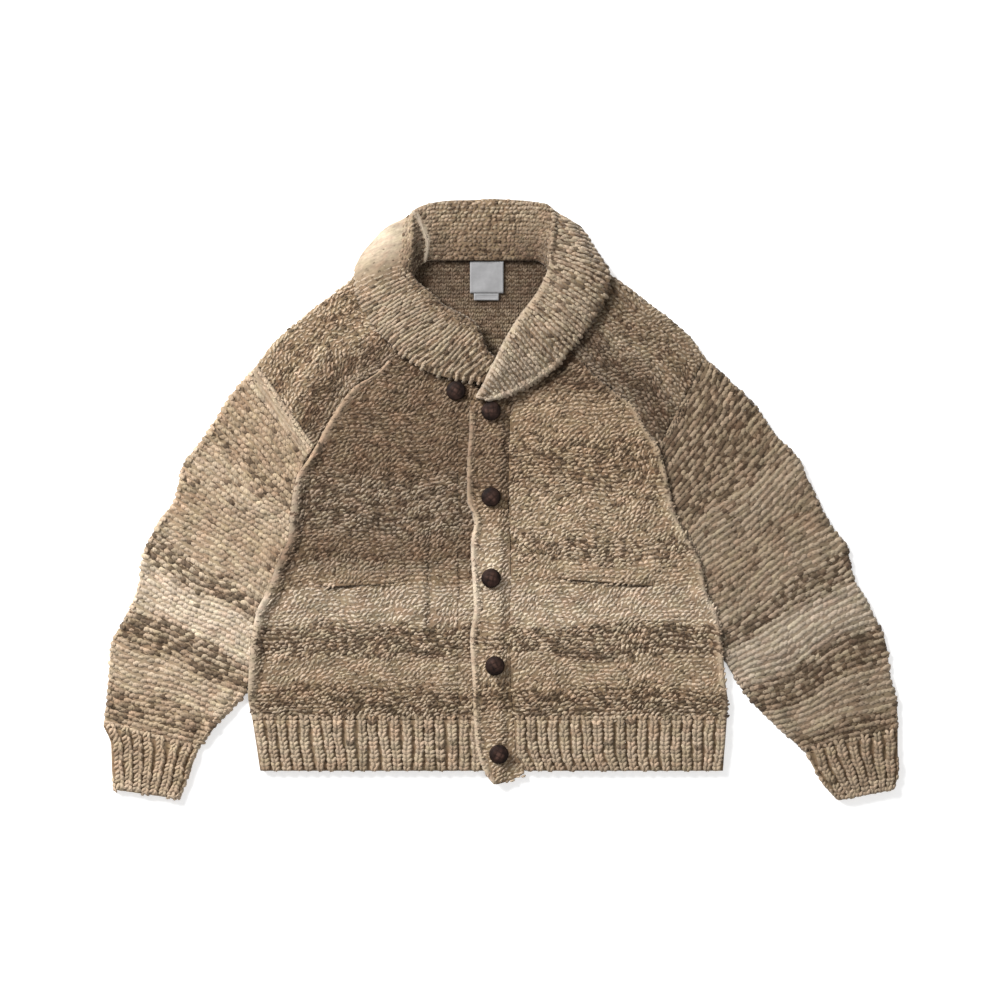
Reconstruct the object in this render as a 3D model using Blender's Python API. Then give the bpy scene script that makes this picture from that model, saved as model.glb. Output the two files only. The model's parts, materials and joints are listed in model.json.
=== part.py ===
"""A hand-knitted shawl-collar cardigan, laid flat on its back and buttoned, with the sleeves out
to the sides. +Y points from hem to neck, +X to the wearer's left, +Z up from the surface it lies on.

Every piece is a wall of bulky knit with rounded upper edges. Sizes are in millimetres, and
points are (x, y) in plan unless a comment says otherwise. The meshes are made in metres.
"""

import math

import bpy
import numpy as np

METRES = 0.001

# Driving sizes
WALL = 5.0  # thickness of the knitted cloth
SEAM = 0.3  # gap between sewn pieces, and between a piece and what it lies on
PLIES = 0.6  # slot between the front layer and the back layer
BEVEL = 2.5  # how far in from an edge its rounding reaches
EDGE_DROP = 1.8  # how much lower the upper face is at an edge
ROLL_HEIGHT = 2.2  # how far a rolled selvage stands above its panel
ROLL_FADE = 14.0  # over what length it fades out under the collar
SLANTED_SEAM = 0.45  # gap along x across a seam that slants
SLEEVE_SEAM = 1.6  # gap along x between the back and the sleeves' inner edges
CLIMB = 13.0  # over what length the fronts climb onto the sleeves
CLIMB_START = 15.0  # how far from the sleeve the climb begins
BAND_DROP = 15.0  # over what length the button band comes down beside the under band
BAND_LEDGE = 6.0  # how far past the under band it stays level
RIB_HEIGHT = 3.0
RIB_PITCH = 14.6
CUFF_RIBS = 8
HEM_TOP = -282.0
HEM_END = -347.0
NECK_BACK = 309.0
BUTTON_WIDTH = 25.0
BUTTON_HEIGHT = 6.5
WELT_HEIGHT = 2.4
WELT_DEPTH = 19.0
LABEL_THICKNESS = 1.0
CENTRE = (0.4, 1.0)  # middle of the whole garment's outline, which becomes the origin

# Levels across the garment that the pieces on both sides of a seam share
RAGLAN_ROWS = np.array([206, 204, 202, 198, 190, 178, 165, 152, 139, 127, 117, 104, 88, 68], float)
SIDE_ROWS = np.array([42, 14, -15, -45, -75, -105, -135, -165, -195, -225, -252, -279.3, -281.8], float)
HEM_ROWS = np.array([-282.2, -284.7, -318, -344.5, -347], float)

# Levels above the surface
FRONT = WALL + PLIES  # underside of the front layer
FOLD = 2 * WALL + PLIES  # height of a flattened tube or fold
ON_FRONT = FOLD + SEAM  # underside of what lies on the front layer
BUTTON_SEAT = ON_FRONT + WALL + SEAM
FOLD_RADIUS = FOLD / 2
SLOT_RADIUS = PLIES / 2

# Seam from the neck to the underarm, between each front or the back and the shoulder yoke
RAGLAN_RIGHT = [(-117, 206), (-127, 196), (-157, 165), (-191, 142), (-208, 119), (-225, 92), (-237, 68)]
RAGLAN_LEFT = [(78, 202), (95, 186), (127, 155), (157, 131), (171, 121), (184, 97), (203, 68)]

# Side of the body from the underarm to the hem, which lies over the sleeve
SIDE_RIGHT = [
    (-237, 68), (-248, 49), (-260, 32), (-268, -8), (-271, -47), (-287, -84), (-298, -115), (-312, -142),
    (-318, -175), (-322, -215), (-323, -252), (-318, -282), (-308, -347),
]
SIDE_LEFT = [
    (203, 68), (211, 40), (214, 26), (225, -20), (243, -54), (258, -86), (264, -118), (278, -147), (285, -197),
    (287, -225), (291, -259), (290, -282), (285, -347),
]

# Shoulder fold from the neck to the sleeve
SHOULDER_RIGHT = [
    (-115, 303), (-148, 300), (-181, 292), (-200, 275), (-235, 250), (-264, 225), (-291, 202), (-312, 175),
]
SHOULDER_LEFT = [
    (64, 303), (102, 299), (136, 291), (164, 273), (191, 252), (218, 232), (246, 206), (262, 183),
]

# Sleeve edges from the armhole to the cuff seam, and cuff edges from there to the opening
SLEEVE_OUT_RIGHT = [
    (-345, 136), (-378, 84), (-409, 41), (-418, 1), (-436, -24), (-459, -72), (-465, -109),
    (-486, -159), (-500, -186), (-502, -215), (-505, -259), (-510, -289),
]
SLEEVE_IN_RIGHT = [
    (-255, 32), (-263, -8), (-266, -47), (-282, -84), (-292, -115), (-307, -142), (-313, -175),
    (-317, -215), (-322, -241), (-345, -270), (-365, -291), (-378, -308), (-388, -320),
]
SLEEVE_OUT_LEFT = [
    (291, 156), (324, 125), (353, 84), (380, 56), (397, 22), (426, -36), (445, -60), (451, -93),
    (473, -136), (496, -189), (500, -225), (509, -261), (510, -297),
]
SLEEVE_IN_LEFT = [
    (206, 40), (220, -20), (237, -54), (253, -86), (259, -118), (273, -147), (280, -179),
    (285, -200), (300, -229), (318, -255), (354, -291), (390, -323),
]
CUFF_OUT_RIGHT = [(-500, -314), (-499, -346), (-496, -371)]
CUFF_IN_RIGHT = [(-396, -340), (-403, -364), (-412, -383)]
CUFF_OUT_LEFT = [(510, -320), (511, -348), (505, -371)]
CUFF_IN_LEFT = [(401, -344), (412, -362), (433, -385)]

# Front borders, each edge from the neck down to the hem. The button band lies on the under band.
UNDER_BAND_SEAM = [
    (-88, 165), (-80, 150), (-74, 140), (-66, 128), (-59, 115), (-55, 100), (-54, 60), (-54, -347),
]
UNDER_BAND_EDGE = [
    (-45, 165), (-36, 150), (-28, 140), (-18, 125), (-11, 110), (-9, 90), (-9, 60), (-9, -347),
]
BUTTON_BAND_EDGE = [
    (-27, 138), (-34, 131), (-39, 122), (-40, 87), (-43, 36), (-43, 0), (-33, -26), (-38, -58), (-34, -142),
    (-39, -175), (-36, -227), (-33, -301), (-30, -323), (-21, -347), (-14, -358), (-9, -364),
]
BUTTON_BAND_SEAM = [
    (16, 138), (11, 87), (10, 0), (13, -77), (12, -154), (13, -230), (17, -287), (20, -323),
    (31, -349), (24, -354), (10, -360), (-4, -364),
]
NECKLINE_RIGHT = [(-115, 206), (-105, 184), (-89, 165)]
NECKLINE_LEFT = [(74, 200), (64, 172), (45, 155), (18, 138)]
NECK_SIDE_RIGHT = [(-113, 309), (-114, 206)]
NECK_SIDE_LEFT = [(62, 309), (62, 303), (76, 202)]

BUTTONS = [(-57, 140), (-12, 114), (-12, 4), (-12, -100), (-7, -212), (-2, -325)]
TOP_BUTTON_LEVEL = ON_FRONT  # the top button is sewn on the under band, and shows unfastened

# A button's profile as (share of its radius, share of its height), from its seat to its dome
BUTTON_PROFILE = [(0.7, 0.0), (1.0, 0.28), (0.96, 0.62), (0.76, 0.88)]
BUTTON_SEGMENTS = 16

# Woven labels at the back neck: left, right, bottom and top
LABELS = {"neck_label": (-39, 4, 265, 306), "care_label": (-34, -2, 256, 264.7)}

# Each pocket's slit: its outer end and its inner end
POCKETS = {"right": [(-228, -111), (-137, -107)], "left": [(195, -110), (78, -101)]}

# Collar sections from the right front's end to the left front's end, through the back neck. Each
# gives the free edge, the rolled edge and the neck seam as (x, y) and height of the wall's middle,
# half the spread of the two leaves at the roll, and the lean: 1 where the leaf from the seam lies
# above the other, as at the back neck, and -1 where it lies below, as on the fronts.
COLLAR_COLUMNS = (
    "edge_x", "edge_y", "edge_z", "roll_x", "roll_y", "roll_z", "seam_x", "seam_y", "seam_z",
    "spread", "lean", "crown",
)
COLLAR = [
    (-16, 149, 13.6, -4, 184, 16.2, -16, 176, 13.4, 2.8, -1.0, 0.5),
    (-26, 151, 13.5, -13, 189, 16.4, -27, 181, 13.4, 2.9, -1.0, 1.0),
    (-60, 155, 13.4, -31, 228, 17.2, -48, 206, 13.4, 3.8, -1.0, 3.0),
    (-90, 163, 13.4, -53, 241, 17.6, -68, 218, 13.4, 4.2, -1.0, 3.5),
    (-122, 183, 13.4, -71, 251, 17.9, -87, 231, 13.4, 4.5, -1.0, 4.0),
    (-153, 214, 13.4, -90, 268, 18.4, -106, 250, 13.4, 5.0, -1.0, 4.5),
    (-172, 243, 13.4, -107, 283, 20.0, -116, 268, 13.4, 5.0, -0.85, 5.0),
    (-185, 270, 13.4, -115, 300, 24.0, -112, 286, 12.6, 5.0, -0.45, 5.5),
    (-187, 292, 12.5, -115, 316, 26.0, -104, 299, 9.8, 4.5, -0.15, 6.0),
    (-181, 309, 7.0, -112, 334, 25.0, -98, 305, 8.2, 4.0, 0.1, 6.0),
    (-167, 329, 3.4, -113, 353, 20.5, -92, 307, 7.8, 3.5, 0.35, 5.0),
    (-144, 349, 2.5, -112, 369, 14.0, -88, 307, 7.8, 3.2, 0.65, 2.5),
    (-116, 344, 2.5, -99, 379, 8.0, -80, 307, 7.8, 2.9, 0.9, 0.5),
    (-82, 312, 2.5, -77, 384, 5.3, -70, 307, 7.8, 2.8, 1.0, 0.0),
    (-25, 309.6, 2.5, -25, 387, 5.3, -25, 307, 7.8, 2.8, 1.0, 0.0),
    (25, 309.6, 2.5, 25, 386, 5.3, 22, 307, 7.8, 2.8, 1.0, 0.0),
    (66, 330, 2.5, 46, 383, 6.0, 36, 307, 7.8, 2.9, 1.0, 0.0),
    (86, 358, 2.5, 61, 378, 10.0, 42, 307, 7.8, 3.2, 0.8, 2.0),
    (101, 351, 2.6, 68, 364, 17.0, 46, 307, 7.8, 3.5, 0.45, 4.5),
    (120, 323, 5.5, 67, 343, 24.5, 50, 305, 8.2, 4.0, 0.1, 6.0),
    (140, 288, 12.6, 63, 320, 26.0, 57, 300, 9.8, 4.5, -0.15, 6.0),
    (134, 258, 13.4, 61, 300, 24.0, 66, 285, 12.6, 5.0, -0.45, 5.5),
    (115, 225, 13.4, 51, 275, 21.0, 64, 260, 13.4, 5.0, -0.9, 5.0),
    (94, 198, 13.4, 35, 252, 19.5, 53, 234, 13.4, 5.0, -1.0, 4.5),
    (71, 169, 13.4, 19, 229, 21.5, 36, 208, 14.0, 4.8, -1.0, 4.0),
    (47, 152, 13.6, 3, 204, 26.0, 18, 184, 17.5, 4.0, -1.0, 2.0),
    (24, 139, 15.6, -8, 179, 27.2, 3, 164, 21.5, 3.4, -1.0, 1.0),
    (3, 130, 18.6, -21, 155, 24.2, -12, 145, 20.6, 3.0, -1.0, 0.5),
    (-12, 127, 18.9, -34, 132, 21.2, -26, 131, 18.5, 2.8, -1.0, 0.0),
]
COLLAR_LENGTH_STEPS = 42
COLLAR_ACROSS = [0, 0.04, 0.15, 0.27, 0.3, 0.33, 0.36, 0.39, 0.46, 0.56, 0.68, 0.82, 0.96, 1]

# Large soft folds of the front layer and the sleeves: the ends of each ridge, its height and width
FOLDS = [
    {"start": (-250, 40), "end": (-170, -20), "height": 2.0, "width": 16},
    {"start": (215, 35), "end": (150, -30), "height": 2.0, "width": 16},
    {"start": (-300, -250), "end": (-80, -252), "height": 2.5, "width": 20},
    {"start": (50, -252), "end": (270, -250), "height": 2.5, "width": 20},
    {"start": (-395, 20), "end": (-300, -10), "height": 2.5, "width": 18},
    {"start": (-470, -150), "end": (-350, -200), "height": 2.5, "width": 18},
    {"start": (375, 20), "end": (285, -20), "height": 2.5, "width": 18},
    {"start": (455, -150), "end": (350, -190), "height": 2.5, "width": 18},
    {"start": (-495, -262), "end": (-400, -290), "height": 2.0, "width": 12},
    {"start": (490, -270), "end": (400, -292), "height": 2.0, "width": 12},
]

# Colours of the marled wool and the trims
WOOL = {
    "back": (0.30, 0.22, 0.14),
    "front": (0.33, 0.25, 0.17),
    "rib": (0.40, 0.29, 0.19),
    "yoke": (0.29, 0.22, 0.15),
    "sleeve": (0.33, 0.26, 0.18),
    "collar": (0.38, 0.30, 0.21),
}
BUTTON_BROWN = (0.035, 0.018, 0.012)
LABEL_WHITE = (0.78, 0.78, 0.76)


def curve(knots, values, where):
    """The smooth curve through values at knots, read at where. It never overshoots a value."""
    knots, values, where = np.array(knots, float), np.array(values, float), np.array(where, float)
    gaps = np.diff(knots)[:, None]
    slopes = np.diff(values, axis=0) / gaps
    tangents = np.zeros_like(values)
    tangents[0], tangents[-1] = slopes[0], slopes[-1]
    same_way = slopes[:-1] * slopes[1:] > 0
    near, far = 2 * gaps[1:] + gaps[:-1], gaps[1:] + 2 * gaps[:-1]
    before, after = np.where(same_way, slopes[:-1], 1.0), np.where(same_way, slopes[1:], 1.0)
    tangents[1:-1] = np.where(same_way, (near + far) / (near / before + far / after), 0.0)
    i = np.clip(np.searchsorted(knots, where, side="right") - 1, 0, len(knots) - 2)
    gap = gaps[i]
    t = (where - knots[i])[:, None] / gap
    return (
        (1 + 2 * t) * (1 - t) ** 2 * values[i]
        + t * (1 - t) ** 2 * gap * tangents[i]
        + t**2 * (3 - 2 * t) * values[i + 1]
        + t**2 * (t - 1) * gap * tangents[i + 1]
    )


def along(points):
    """How far along its line each point lies, from 0 to 1."""
    steps = np.linalg.norm(np.diff(np.array(points, float)[:, :2], axis=0), axis=1)
    return np.concatenate([[0], np.cumsum(steps)]) / steps.sum()


def line(points, where):
    return curve(along(points), points, where)


def x_at(points, y):
    """The x of an edge that runs down the garment, at each y."""
    edge = np.array(points, float)[::-1]
    return curve(edge[:, 1], edge[:, :1], np.clip(y, edge[0, 1], edge[-1, 1]))[:, 0]


def runs(*parts):
    """An edge made of (points, shift along x) one below another, as a function of y."""

    def x_of(y):
        x = x_at(parts[0][0], y) + parts[0][1]
        for points, shift in parts[1:]:
            x = np.where(y <= points[0][1], x_at(points, y) + shift, x)
        return x

    return x_of


def smooth_step(x):
    x = np.clip(x, 0, 1)
    return x * x * (3 - 2 * x)


def away_from(points, x, y):
    """How far each (x, y) lies from a line of straight runs."""
    points = np.array(points, float)
    nearest = np.full(np.shape(x), np.inf)
    for start, end in zip(points[:-1], points[1:]):
        run = end - start
        t = np.clip(((x - start[0]) * run[0] + (y - start[1]) * run[1]) / (run @ run), 0, 1)
        nearest = np.minimum(nearest, np.hypot(x - start[0] - t * run[0], y - start[1] - t * run[1]))
    return nearest


def folds(x, y):
    """The rise of the large soft folds."""
    rise = np.zeros(np.shape(x))
    for fold in FOLDS:
        away = away_from([fold["start"], fold["end"]], x, y)
        rise += fold["height"] * np.exp(-((away / fold["width"]) ** 2))
    return rise


def solid(name, outer, inner, colour, roughness=0.95, ring=False):
    """One object between two grids of points: a sheet, or a tube where the columns close a ring."""
    rows, cols = outer.shape[:2]
    points = np.concatenate([outer.reshape(-1, 3), inner.reshape(-1, 3)])
    points[:, :2] -= CENTRE
    out = np.arange(rows * cols).reshape(rows, cols)
    into = out + rows * cols
    faces = []
    for j in range(cols if ring else cols - 1):
        k = (j + 1) % cols
        for i in range(rows - 1):
            faces.append((out[i, j], out[i, k], out[i + 1, k], out[i + 1, j]))
            faces.append((into[i, j], into[i + 1, j], into[i + 1, k], into[i, k]))
        faces.append((out[0, k], out[0, j], into[0, j], into[0, k]))
        faces.append((out[-1, j], out[-1, k], into[-1, k], into[-1, j]))
    if not ring:
        for i in range(rows - 1):
            faces.append((out[i, 0], out[i + 1, 0], into[i + 1, 0], into[i, 0]))
            faces.append((out[i + 1, -1], out[i, -1], into[i, -1], into[i + 1, -1]))
    return finished(name, points, faces, colour, roughness)


def finished(name, points, faces, colour, roughness):
    """An object from points in millimetres, with its faces turned outward and its own material."""
    faces = [tuple(int(corner) for corner in face) for face in faces]
    volume = 0.0
    for face in faces:
        for second, third in zip(face[1:-1], face[2:]):
            volume += np.dot(points[face[0]], np.cross(points[second], points[third]))
    if volume < 0:
        faces = [face[::-1] for face in faces]
    mesh = bpy.data.meshes.new(name)
    mesh.from_pydata((points * METRES).tolist(), [], faces)
    mesh.shade_smooth()
    mesh.set_sharp_from_angle(angle=math.radians(50))
    mesh.materials.append(material(name, colour, roughness))
    placed = bpy.data.objects.new(name, mesh)
    bpy.context.collection.objects.link(placed)
    return placed


def material(name, colour, roughness):
    made = bpy.data.materials.new(name)
    made.use_nodes = True
    shader = made.node_tree.nodes["Principled BSDF"]
    shader.inputs["Base Color"].default_value = (*colour, 1)
    shader.inputs["Roughness"].default_value = roughness
    shader.inputs["Metallic"].default_value = 0.0
    return made


ROLLED = [(0, -EDGE_DROP), (2.2, 0.9 * ROLL_HEIGHT), (5.2, ROLL_HEIGHT), (9.0, 0)]
PLAIN = [(0, -EDGE_DROP), (BEVEL, 0)]


def panel(
    name, left, right, ys, columns, rests_on, colour,
    left_edge=PLAIN, right_edge=PLAIN, ribs=0, rolled_below=0,
):
    """A sheet between two edges, each a function of y, lying on rests_on(x, y). Each edge has its
    own profile, and a rolled selvage fades out over its upper end, under the collar."""
    x_left, x_right = left(ys), right(ys)
    narrow = np.minimum(1, (x_right - x_left) / (3 * (left_edge[-1][0] + right_edge[-1][0])))[:, None]
    from_left = np.array([row[0] for row in left_edge]) * narrow
    from_right = np.array([row[0] for row in right_edge][::-1]) * narrow
    start = x_left[:, None] + from_left[:, -1:]
    end = x_right[:, None] - from_right[:, :1]
    share = np.linspace(0, 1, columns + 1)[1:-1]
    x = np.concatenate(
        [x_left[:, None] + from_left, start + share * (end - start), x_right[:, None] - from_right], axis=1
    )
    y = np.repeat(ys[:, None], x.shape[1], axis=1)
    below = rests_on(x, y)
    lift = np.zeros_like(x)
    lift[:, : len(left_edge)] += [row[1] for row in left_edge]
    lift[:, x.shape[1] - len(right_edge) :] += [row[1] for row in right_edge][::-1]
    faded = smooth_step((rolled_below - ys) / ROLL_FADE)[:, None]
    lift = np.where(lift > 0, lift * faded, lift)
    if ribs:
        phase = (x - x_left[:, None]) / (x_right - x_left)[:, None] * ribs
        lift += RIB_HEIGHT * (0.5 - 0.5 * np.cos(2 * math.pi * phase))
    lift[0] -= EDGE_DROP
    lift[-1] -= EDGE_DROP
    lift = np.maximum(lift, -EDGE_DROP)
    top = np.stack([x, y, below + WALL + lift], axis=2)
    bottom = np.stack([x, y, below], axis=2)
    return solid(name, top, bottom, colour)


def on_surface(x, y):
    return np.zeros_like(x)


def front_layer(x, y):
    """The underside of the fronts: on the back, and over the sleeves' inner edges at the sides."""
    into_sleeve = np.full(np.shape(x), -1e3)
    for edge, side in ((sleeve_edges("right")[1], -1), (sleeve_edges("left")[1], 1)):
        distance = away_from(edge, x, y)
        inside = (x - x_at(edge, y.ravel()).reshape(np.shape(x))) * side > 0
        inside &= (y < edge[0][1]) & (y > edge[-1][1])
        into_sleeve = np.maximum(into_sleeve, np.where(inside, distance, -distance))
    climb = smooth_step((into_sleeve + CLIMB_START) / CLIMB)
    return FRONT + (ON_FRONT - FRONT) * climb + (1 - climb) * folds(x, y)


def button_band_layer(x, y):
    """The underside of the button band: on the under band, and down beside it to the left front."""
    past = x - x_at(UNDER_BAND_EDGE, y.ravel()).reshape(np.shape(x))
    return FRONT + (ON_FRONT - FRONT) * smooth_step((BAND_LEDGE + BAND_DROP - past) / BAND_DROP)


def arc(centre_a, centre_z, radius, start, end, steps):
    angles = np.radians(np.linspace(start, end, steps))
    return [(centre_a + radius * math.cos(a), centre_z + radius * math.sin(a)) for a in angles]


def flat_loop(width, across, round_start):
    """(outer, inner) profiles of a flattened tube or fold, as (distance, height): over the top from
    0, round the fold at width, and back underneath. round_start closes it round a fold at 0 too."""
    begin = FOLD_RADIUS if round_start else 0.0
    end = width - FOLD_RADIUS
    top = [begin + (end - begin) * share for share in across]
    under = [end + (begin - end) * share for share in (0, 0.5, 1)]
    profiles = []
    for radius, top_z, under_z in ((FOLD_RADIUS, FOLD, 0.0), (SLOT_RADIUS, FRONT, WALL)):
        profile = [(a, top_z) for a in top]
        profile += arc(end, FOLD_RADIUS, radius, 90, -90, 6)[1:-1]
        profile += [(a, under_z) for a in under]
        if round_start:
            profile += arc(begin, FOLD_RADIUS, radius, -90, -270, 6)[1:-1]
        profiles.append(np.array(profile))
    return profiles


def lofted_fold(name, starts, ends, across, colour, round_start, lift):
    """A flattened tube or fold through sections that run from a start point to an end point each.
    lift(share across, x, y, share of ribs) raises the upper layer, outside with ribs and inside
    without."""
    outer, inner = [], []
    for start, end in zip(starts, ends):
        width = math.dist(start, end)
        direction = (end - start) / width
        for grid, profile in zip((outer, inner), flat_loop(width, across, round_start)):
            plan = start + profile[:, :1] * direction
            grid.append(np.column_stack([plan, profile[:, 1]]))
    outer, inner = np.array(outer), np.array(inner)
    upper = slice(0, len(across))
    shares = np.array(across)
    for grid, share_of_ribs in ((outer, 1), (inner, 0)):
        grid[:, upper, 2] += lift(shares, grid[:, upper, 0], grid[:, upper, 1], share_of_ribs)
    if not round_start:
        outer[:, 0, 2] -= EDGE_DROP
    return solid(name, outer, inner, colour, ring=round_start)


def fold_lift(shares, x, y, _):
    return folds(x, y) * np.sin(math.pi * shares) ** 0.5


def cuff_lift(shares, x, _, share_of_ribs):
    ribs = 0.5 - 0.5 * np.cos(2 * math.pi * CUFF_RIBS * shares)
    return share_of_ribs * RIB_HEIGHT * ribs + np.zeros_like(x)


def beside(start, end, towards, gap):
    """The section from start to end, moved sideways by gap towards a point."""
    start, end = np.array(start, float), np.array(end, float)
    run = (end - start) / math.dist(start, end)
    normal = np.array([-run[1], run[0]])
    if normal @ (np.array(towards) - start) < 0:
        normal = -normal
    return start + gap * normal, end + gap * normal


def sleeve_edges(side):
    """The sleeve's outer and inner edge, from the armhole to the cuff seam."""
    right = side == "right"
    shoulder, raglan = (SHOULDER_RIGHT, RAGLAN_RIGHT) if right else (SHOULDER_LEFT, RAGLAN_LEFT)
    outside, inside = (SLEEVE_OUT_RIGHT, SLEEVE_IN_RIGHT) if right else (SLEEVE_OUT_LEFT, SLEEVE_IN_LEFT)
    first_out, first_in = beside(shoulder[-1], raglan[-1], inside[2], SEAM)
    return [tuple(first_out), *outside], [tuple(first_in), *inside]


def build_body():
    right_sleeve, left_sleeve = sleeve_edges("right")[1][:-4], sleeve_edges("left")[1][:-3]
    right_hem = [point for point in SIDE_RIGHT if point[1] < HEM_TOP + 40]
    left_hem = [point for point in SIDE_LEFT if point[1] < HEM_TOP + 60]
    back_right = runs(
        (NECK_SIDE_RIGHT, 0), (RAGLAN_RIGHT, SLANTED_SEAM), (right_sleeve, SLEEVE_SEAM), (right_hem, 0)
    )
    back_left = runs(
        (NECK_SIDE_LEFT, 0), (RAGLAN_LEFT, -SLANTED_SEAM), (left_sleeve, -SLEEVE_SEAM), (left_hem, 0)
    )
    back_rows = np.concatenate([[NECK_BACK, NECK_BACK - BEVEL, 275, 240], RAGLAN_ROWS, SIDE_ROWS])
    panel("back_body", back_right, back_left, back_rows, 5, on_surface, WOOL["back"])
    side_right, side_left = runs((SIDE_RIGHT, 0)), runs((SIDE_LEFT, 0))
    panel("back_hem_rib", side_right, side_left, HEM_ROWS, 8, on_surface, WOOL["rib"])

    front_right_side = runs((RAGLAN_RIGHT, SLANTED_SEAM), (SIDE_RIGHT, 0))
    front_right_middle = runs((NECKLINE_RIGHT, 0), (UNDER_BAND_SEAM, -SLANTED_SEAM))
    front_left_side = runs((RAGLAN_LEFT, -SLANTED_SEAM), (SIDE_LEFT, 0))
    front_left_middle = runs((NECKLINE_LEFT, 0), (BUTTON_BAND_SEAM, SLANTED_SEAM))
    front_rows = np.concatenate([RAGLAN_ROWS, SIDE_ROWS])
    panel(
        "front_right", front_right_side, front_right_middle, front_rows[1:], 7, front_layer, WOOL["front"],
        left_edge=ROLLED, rolled_below=190,
    )
    panel(
        "front_left", front_left_middle, front_left_side, front_rows[3:], 7, front_layer, WOOL["front"],
        right_edge=ROLLED, rolled_below=190,
    )

    # Four columns to a rib: its trough, its crest and its two flanks.
    for name, start, end in (
        ("hem_rib_front_right", side_right, runs((UNDER_BAND_SEAM, -SLANTED_SEAM))),
        ("hem_rib_front_left", runs((BUTTON_BAND_SEAM, SLANTED_SEAM)), side_left),
    ):
        ribs = round(float(end(HEM_ROWS[:1])[0] - start(HEM_ROWS[:1])[0]) / RIB_PITCH)
        panel(name, start, end, HEM_ROWS, 4 * ribs, front_layer, WOOL["rib"], ribs=ribs)


def build_bands():
    under_rows = np.array([165, 162.5, 152, 139, 127, 117, 108, 98, 88, 40, -60, -160, -250, -344.5, -347])
    panel(
        "under_band", runs((UNDER_BAND_SEAM, 0)), runs((UNDER_BAND_EDGE, 0)), under_rows, 2, flat_front,
        WOOL["front"],
    )
    past_the_hem = [-353, -359, -364]
    by_the_collar = [138, 134, 127, 117, 108, 98, 88, 68]
    button_rows = np.concatenate([by_the_collar, SIDE_ROWS[:-2], HEM_ROWS, past_the_hem])
    panel(
        "button_band", runs((BUTTON_BAND_EDGE, 0)), runs((BUTTON_BAND_SEAM, 0)), button_rows, 4,
        button_band_layer, WOOL["front"], left_edge=ROLLED, rolled_below=118,
    )


def flat_front(x, y):
    return np.full_like(x, FRONT)


def build_shoulders_and_sleeves():
    across_yoke = [0, 0.03, 0.25, 0.5, 0.75, 1]
    across_sleeve = np.linspace(0, 1, 8).tolist()
    across_cuff = np.linspace(0, 1, 4 * CUFF_RIBS + 1).tolist()
    for side in ("right", "left"):
        right = side == "right"
        shoulder, raglan = (SHOULDER_RIGHT, RAGLAN_RIGHT) if right else (SHOULDER_LEFT, RAGLAN_LEFT)
        seam_y = RAGLAN_ROWS[RAGLAN_ROWS <= raglan[0][1]]
        seam = np.column_stack([x_at(raglan, seam_y), seam_y])
        fold = line(shoulder, along(seam))
        lofted_fold(f"shoulder_yoke_{side}", seam, fold, across_yoke, WOOL["yoke"], False, fold_lift)
        outside, inside = sleeve_edges(side)
        steps = np.linspace(0, 1, 22)
        lofted_fold(
            f"sleeve_{side}", line(inside, steps), line(outside, steps), across_sleeve,
            WOOL["sleeve"], True, fold_lift,
        )
        cuff_out, cuff_in = (CUFF_OUT_RIGHT, CUFF_IN_RIGHT) if right else (CUFF_OUT_LEFT, CUFF_IN_LEFT)
        first_out, first_in = beside(outside[-1], inside[-1], cuff_out[-1], SEAM)
        steps = np.linspace(0, 1, 4)
        inner_edge = line([tuple(first_in), *cuff_in], steps)
        outer_edge = line([tuple(first_out), *cuff_out], steps)
        lofted_fold(f"cuff_{side}", inner_edge, outer_edge, across_cuff, WOOL["rib"], True, cuff_lift)


def collar_middle(station_steps, across):
    """The middle of the collar's wall: one row of points across it for each station."""
    table = np.array(COLLAR, float)
    roll = table[:, 3:5]
    stations = curve(along(roll), table, np.linspace(0, 1, station_steps + 1))
    column = {name: stations[:, i] for i, name in enumerate(COLLAR_COLUMNS)}
    edge = np.column_stack([column["edge_x"], column["edge_y"], column["edge_z"]])
    roll = np.column_stack([column["roll_x"], column["roll_y"], column["roll_z"]])
    seam = np.column_stack([column["seam_x"], column["seam_y"], column["seam_z"]])
    middle = []
    for i in range(len(stations)):
        to_edge = (edge[i] - roll[i])[:2] / math.dist(edge[i][:2], roll[i][:2])
        to_seam = (seam[i] - roll[i])[:2] / math.dist(seam[i][:2], roll[i][:2])
        inward = (to_edge + to_seam) / np.linalg.norm(to_edge + to_seam)
        spread, lean, crown = column["spread"][i], column["lean"][i], column["crown"][i]
        drop = 2.5 * (1 - abs(lean))
        turn = roll[i] + [*(inward * WALL / 2), 0]
        near_seam = turn + [*(to_seam * spread * 1.4), spread * lean - drop]
        near_edge = turn + [*(to_edge * spread * 1.4), -spread * lean - drop]
        seam_leaf = (near_seam + seam[i]) / 2
        edge_leaf = 0.55 * near_edge + 0.45 * edge[i] + [0, 0, crown]
        knots = np.array([seam[i], seam_leaf, near_seam, turn, near_edge, edge_leaf, edge[i]])
        steps = np.linalg.norm(np.diff(knots, axis=0), axis=1)
        share = np.concatenate([[0], np.cumsum(steps)]) / steps.sum()
        fixed = np.interp(across, [0, 0.27, 0.33, 0.39, 1], [0, share[2], share[3], share[4], 1])
        middle.append(curve(share, knots, fixed))
    return np.array(middle)


def normals(middle):
    """The unit normal of a grid of points, at each point."""
    down = np.gradient(middle, axis=0)
    across = np.gradient(middle, axis=1)
    normal = np.cross(down, across)
    return normal / np.linalg.norm(normal, axis=2, keepdims=True)


def build_collar():
    """The wall on both sides of its middle, thinner at its free edge, seam and ends."""
    across = np.array(COLLAR_ACROSS)
    middle = collar_middle(COLLAR_LENGTH_STEPS, across)
    half = np.full(middle.shape[:2], WALL / 2)
    half[:, [0, -1]] *= 0.55
    half[[0, -1], :] *= 0.6
    offset = normals(middle) * half[:, :, None]
    solid("collar", middle + offset, middle - offset, WOOL["collar"])


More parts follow.
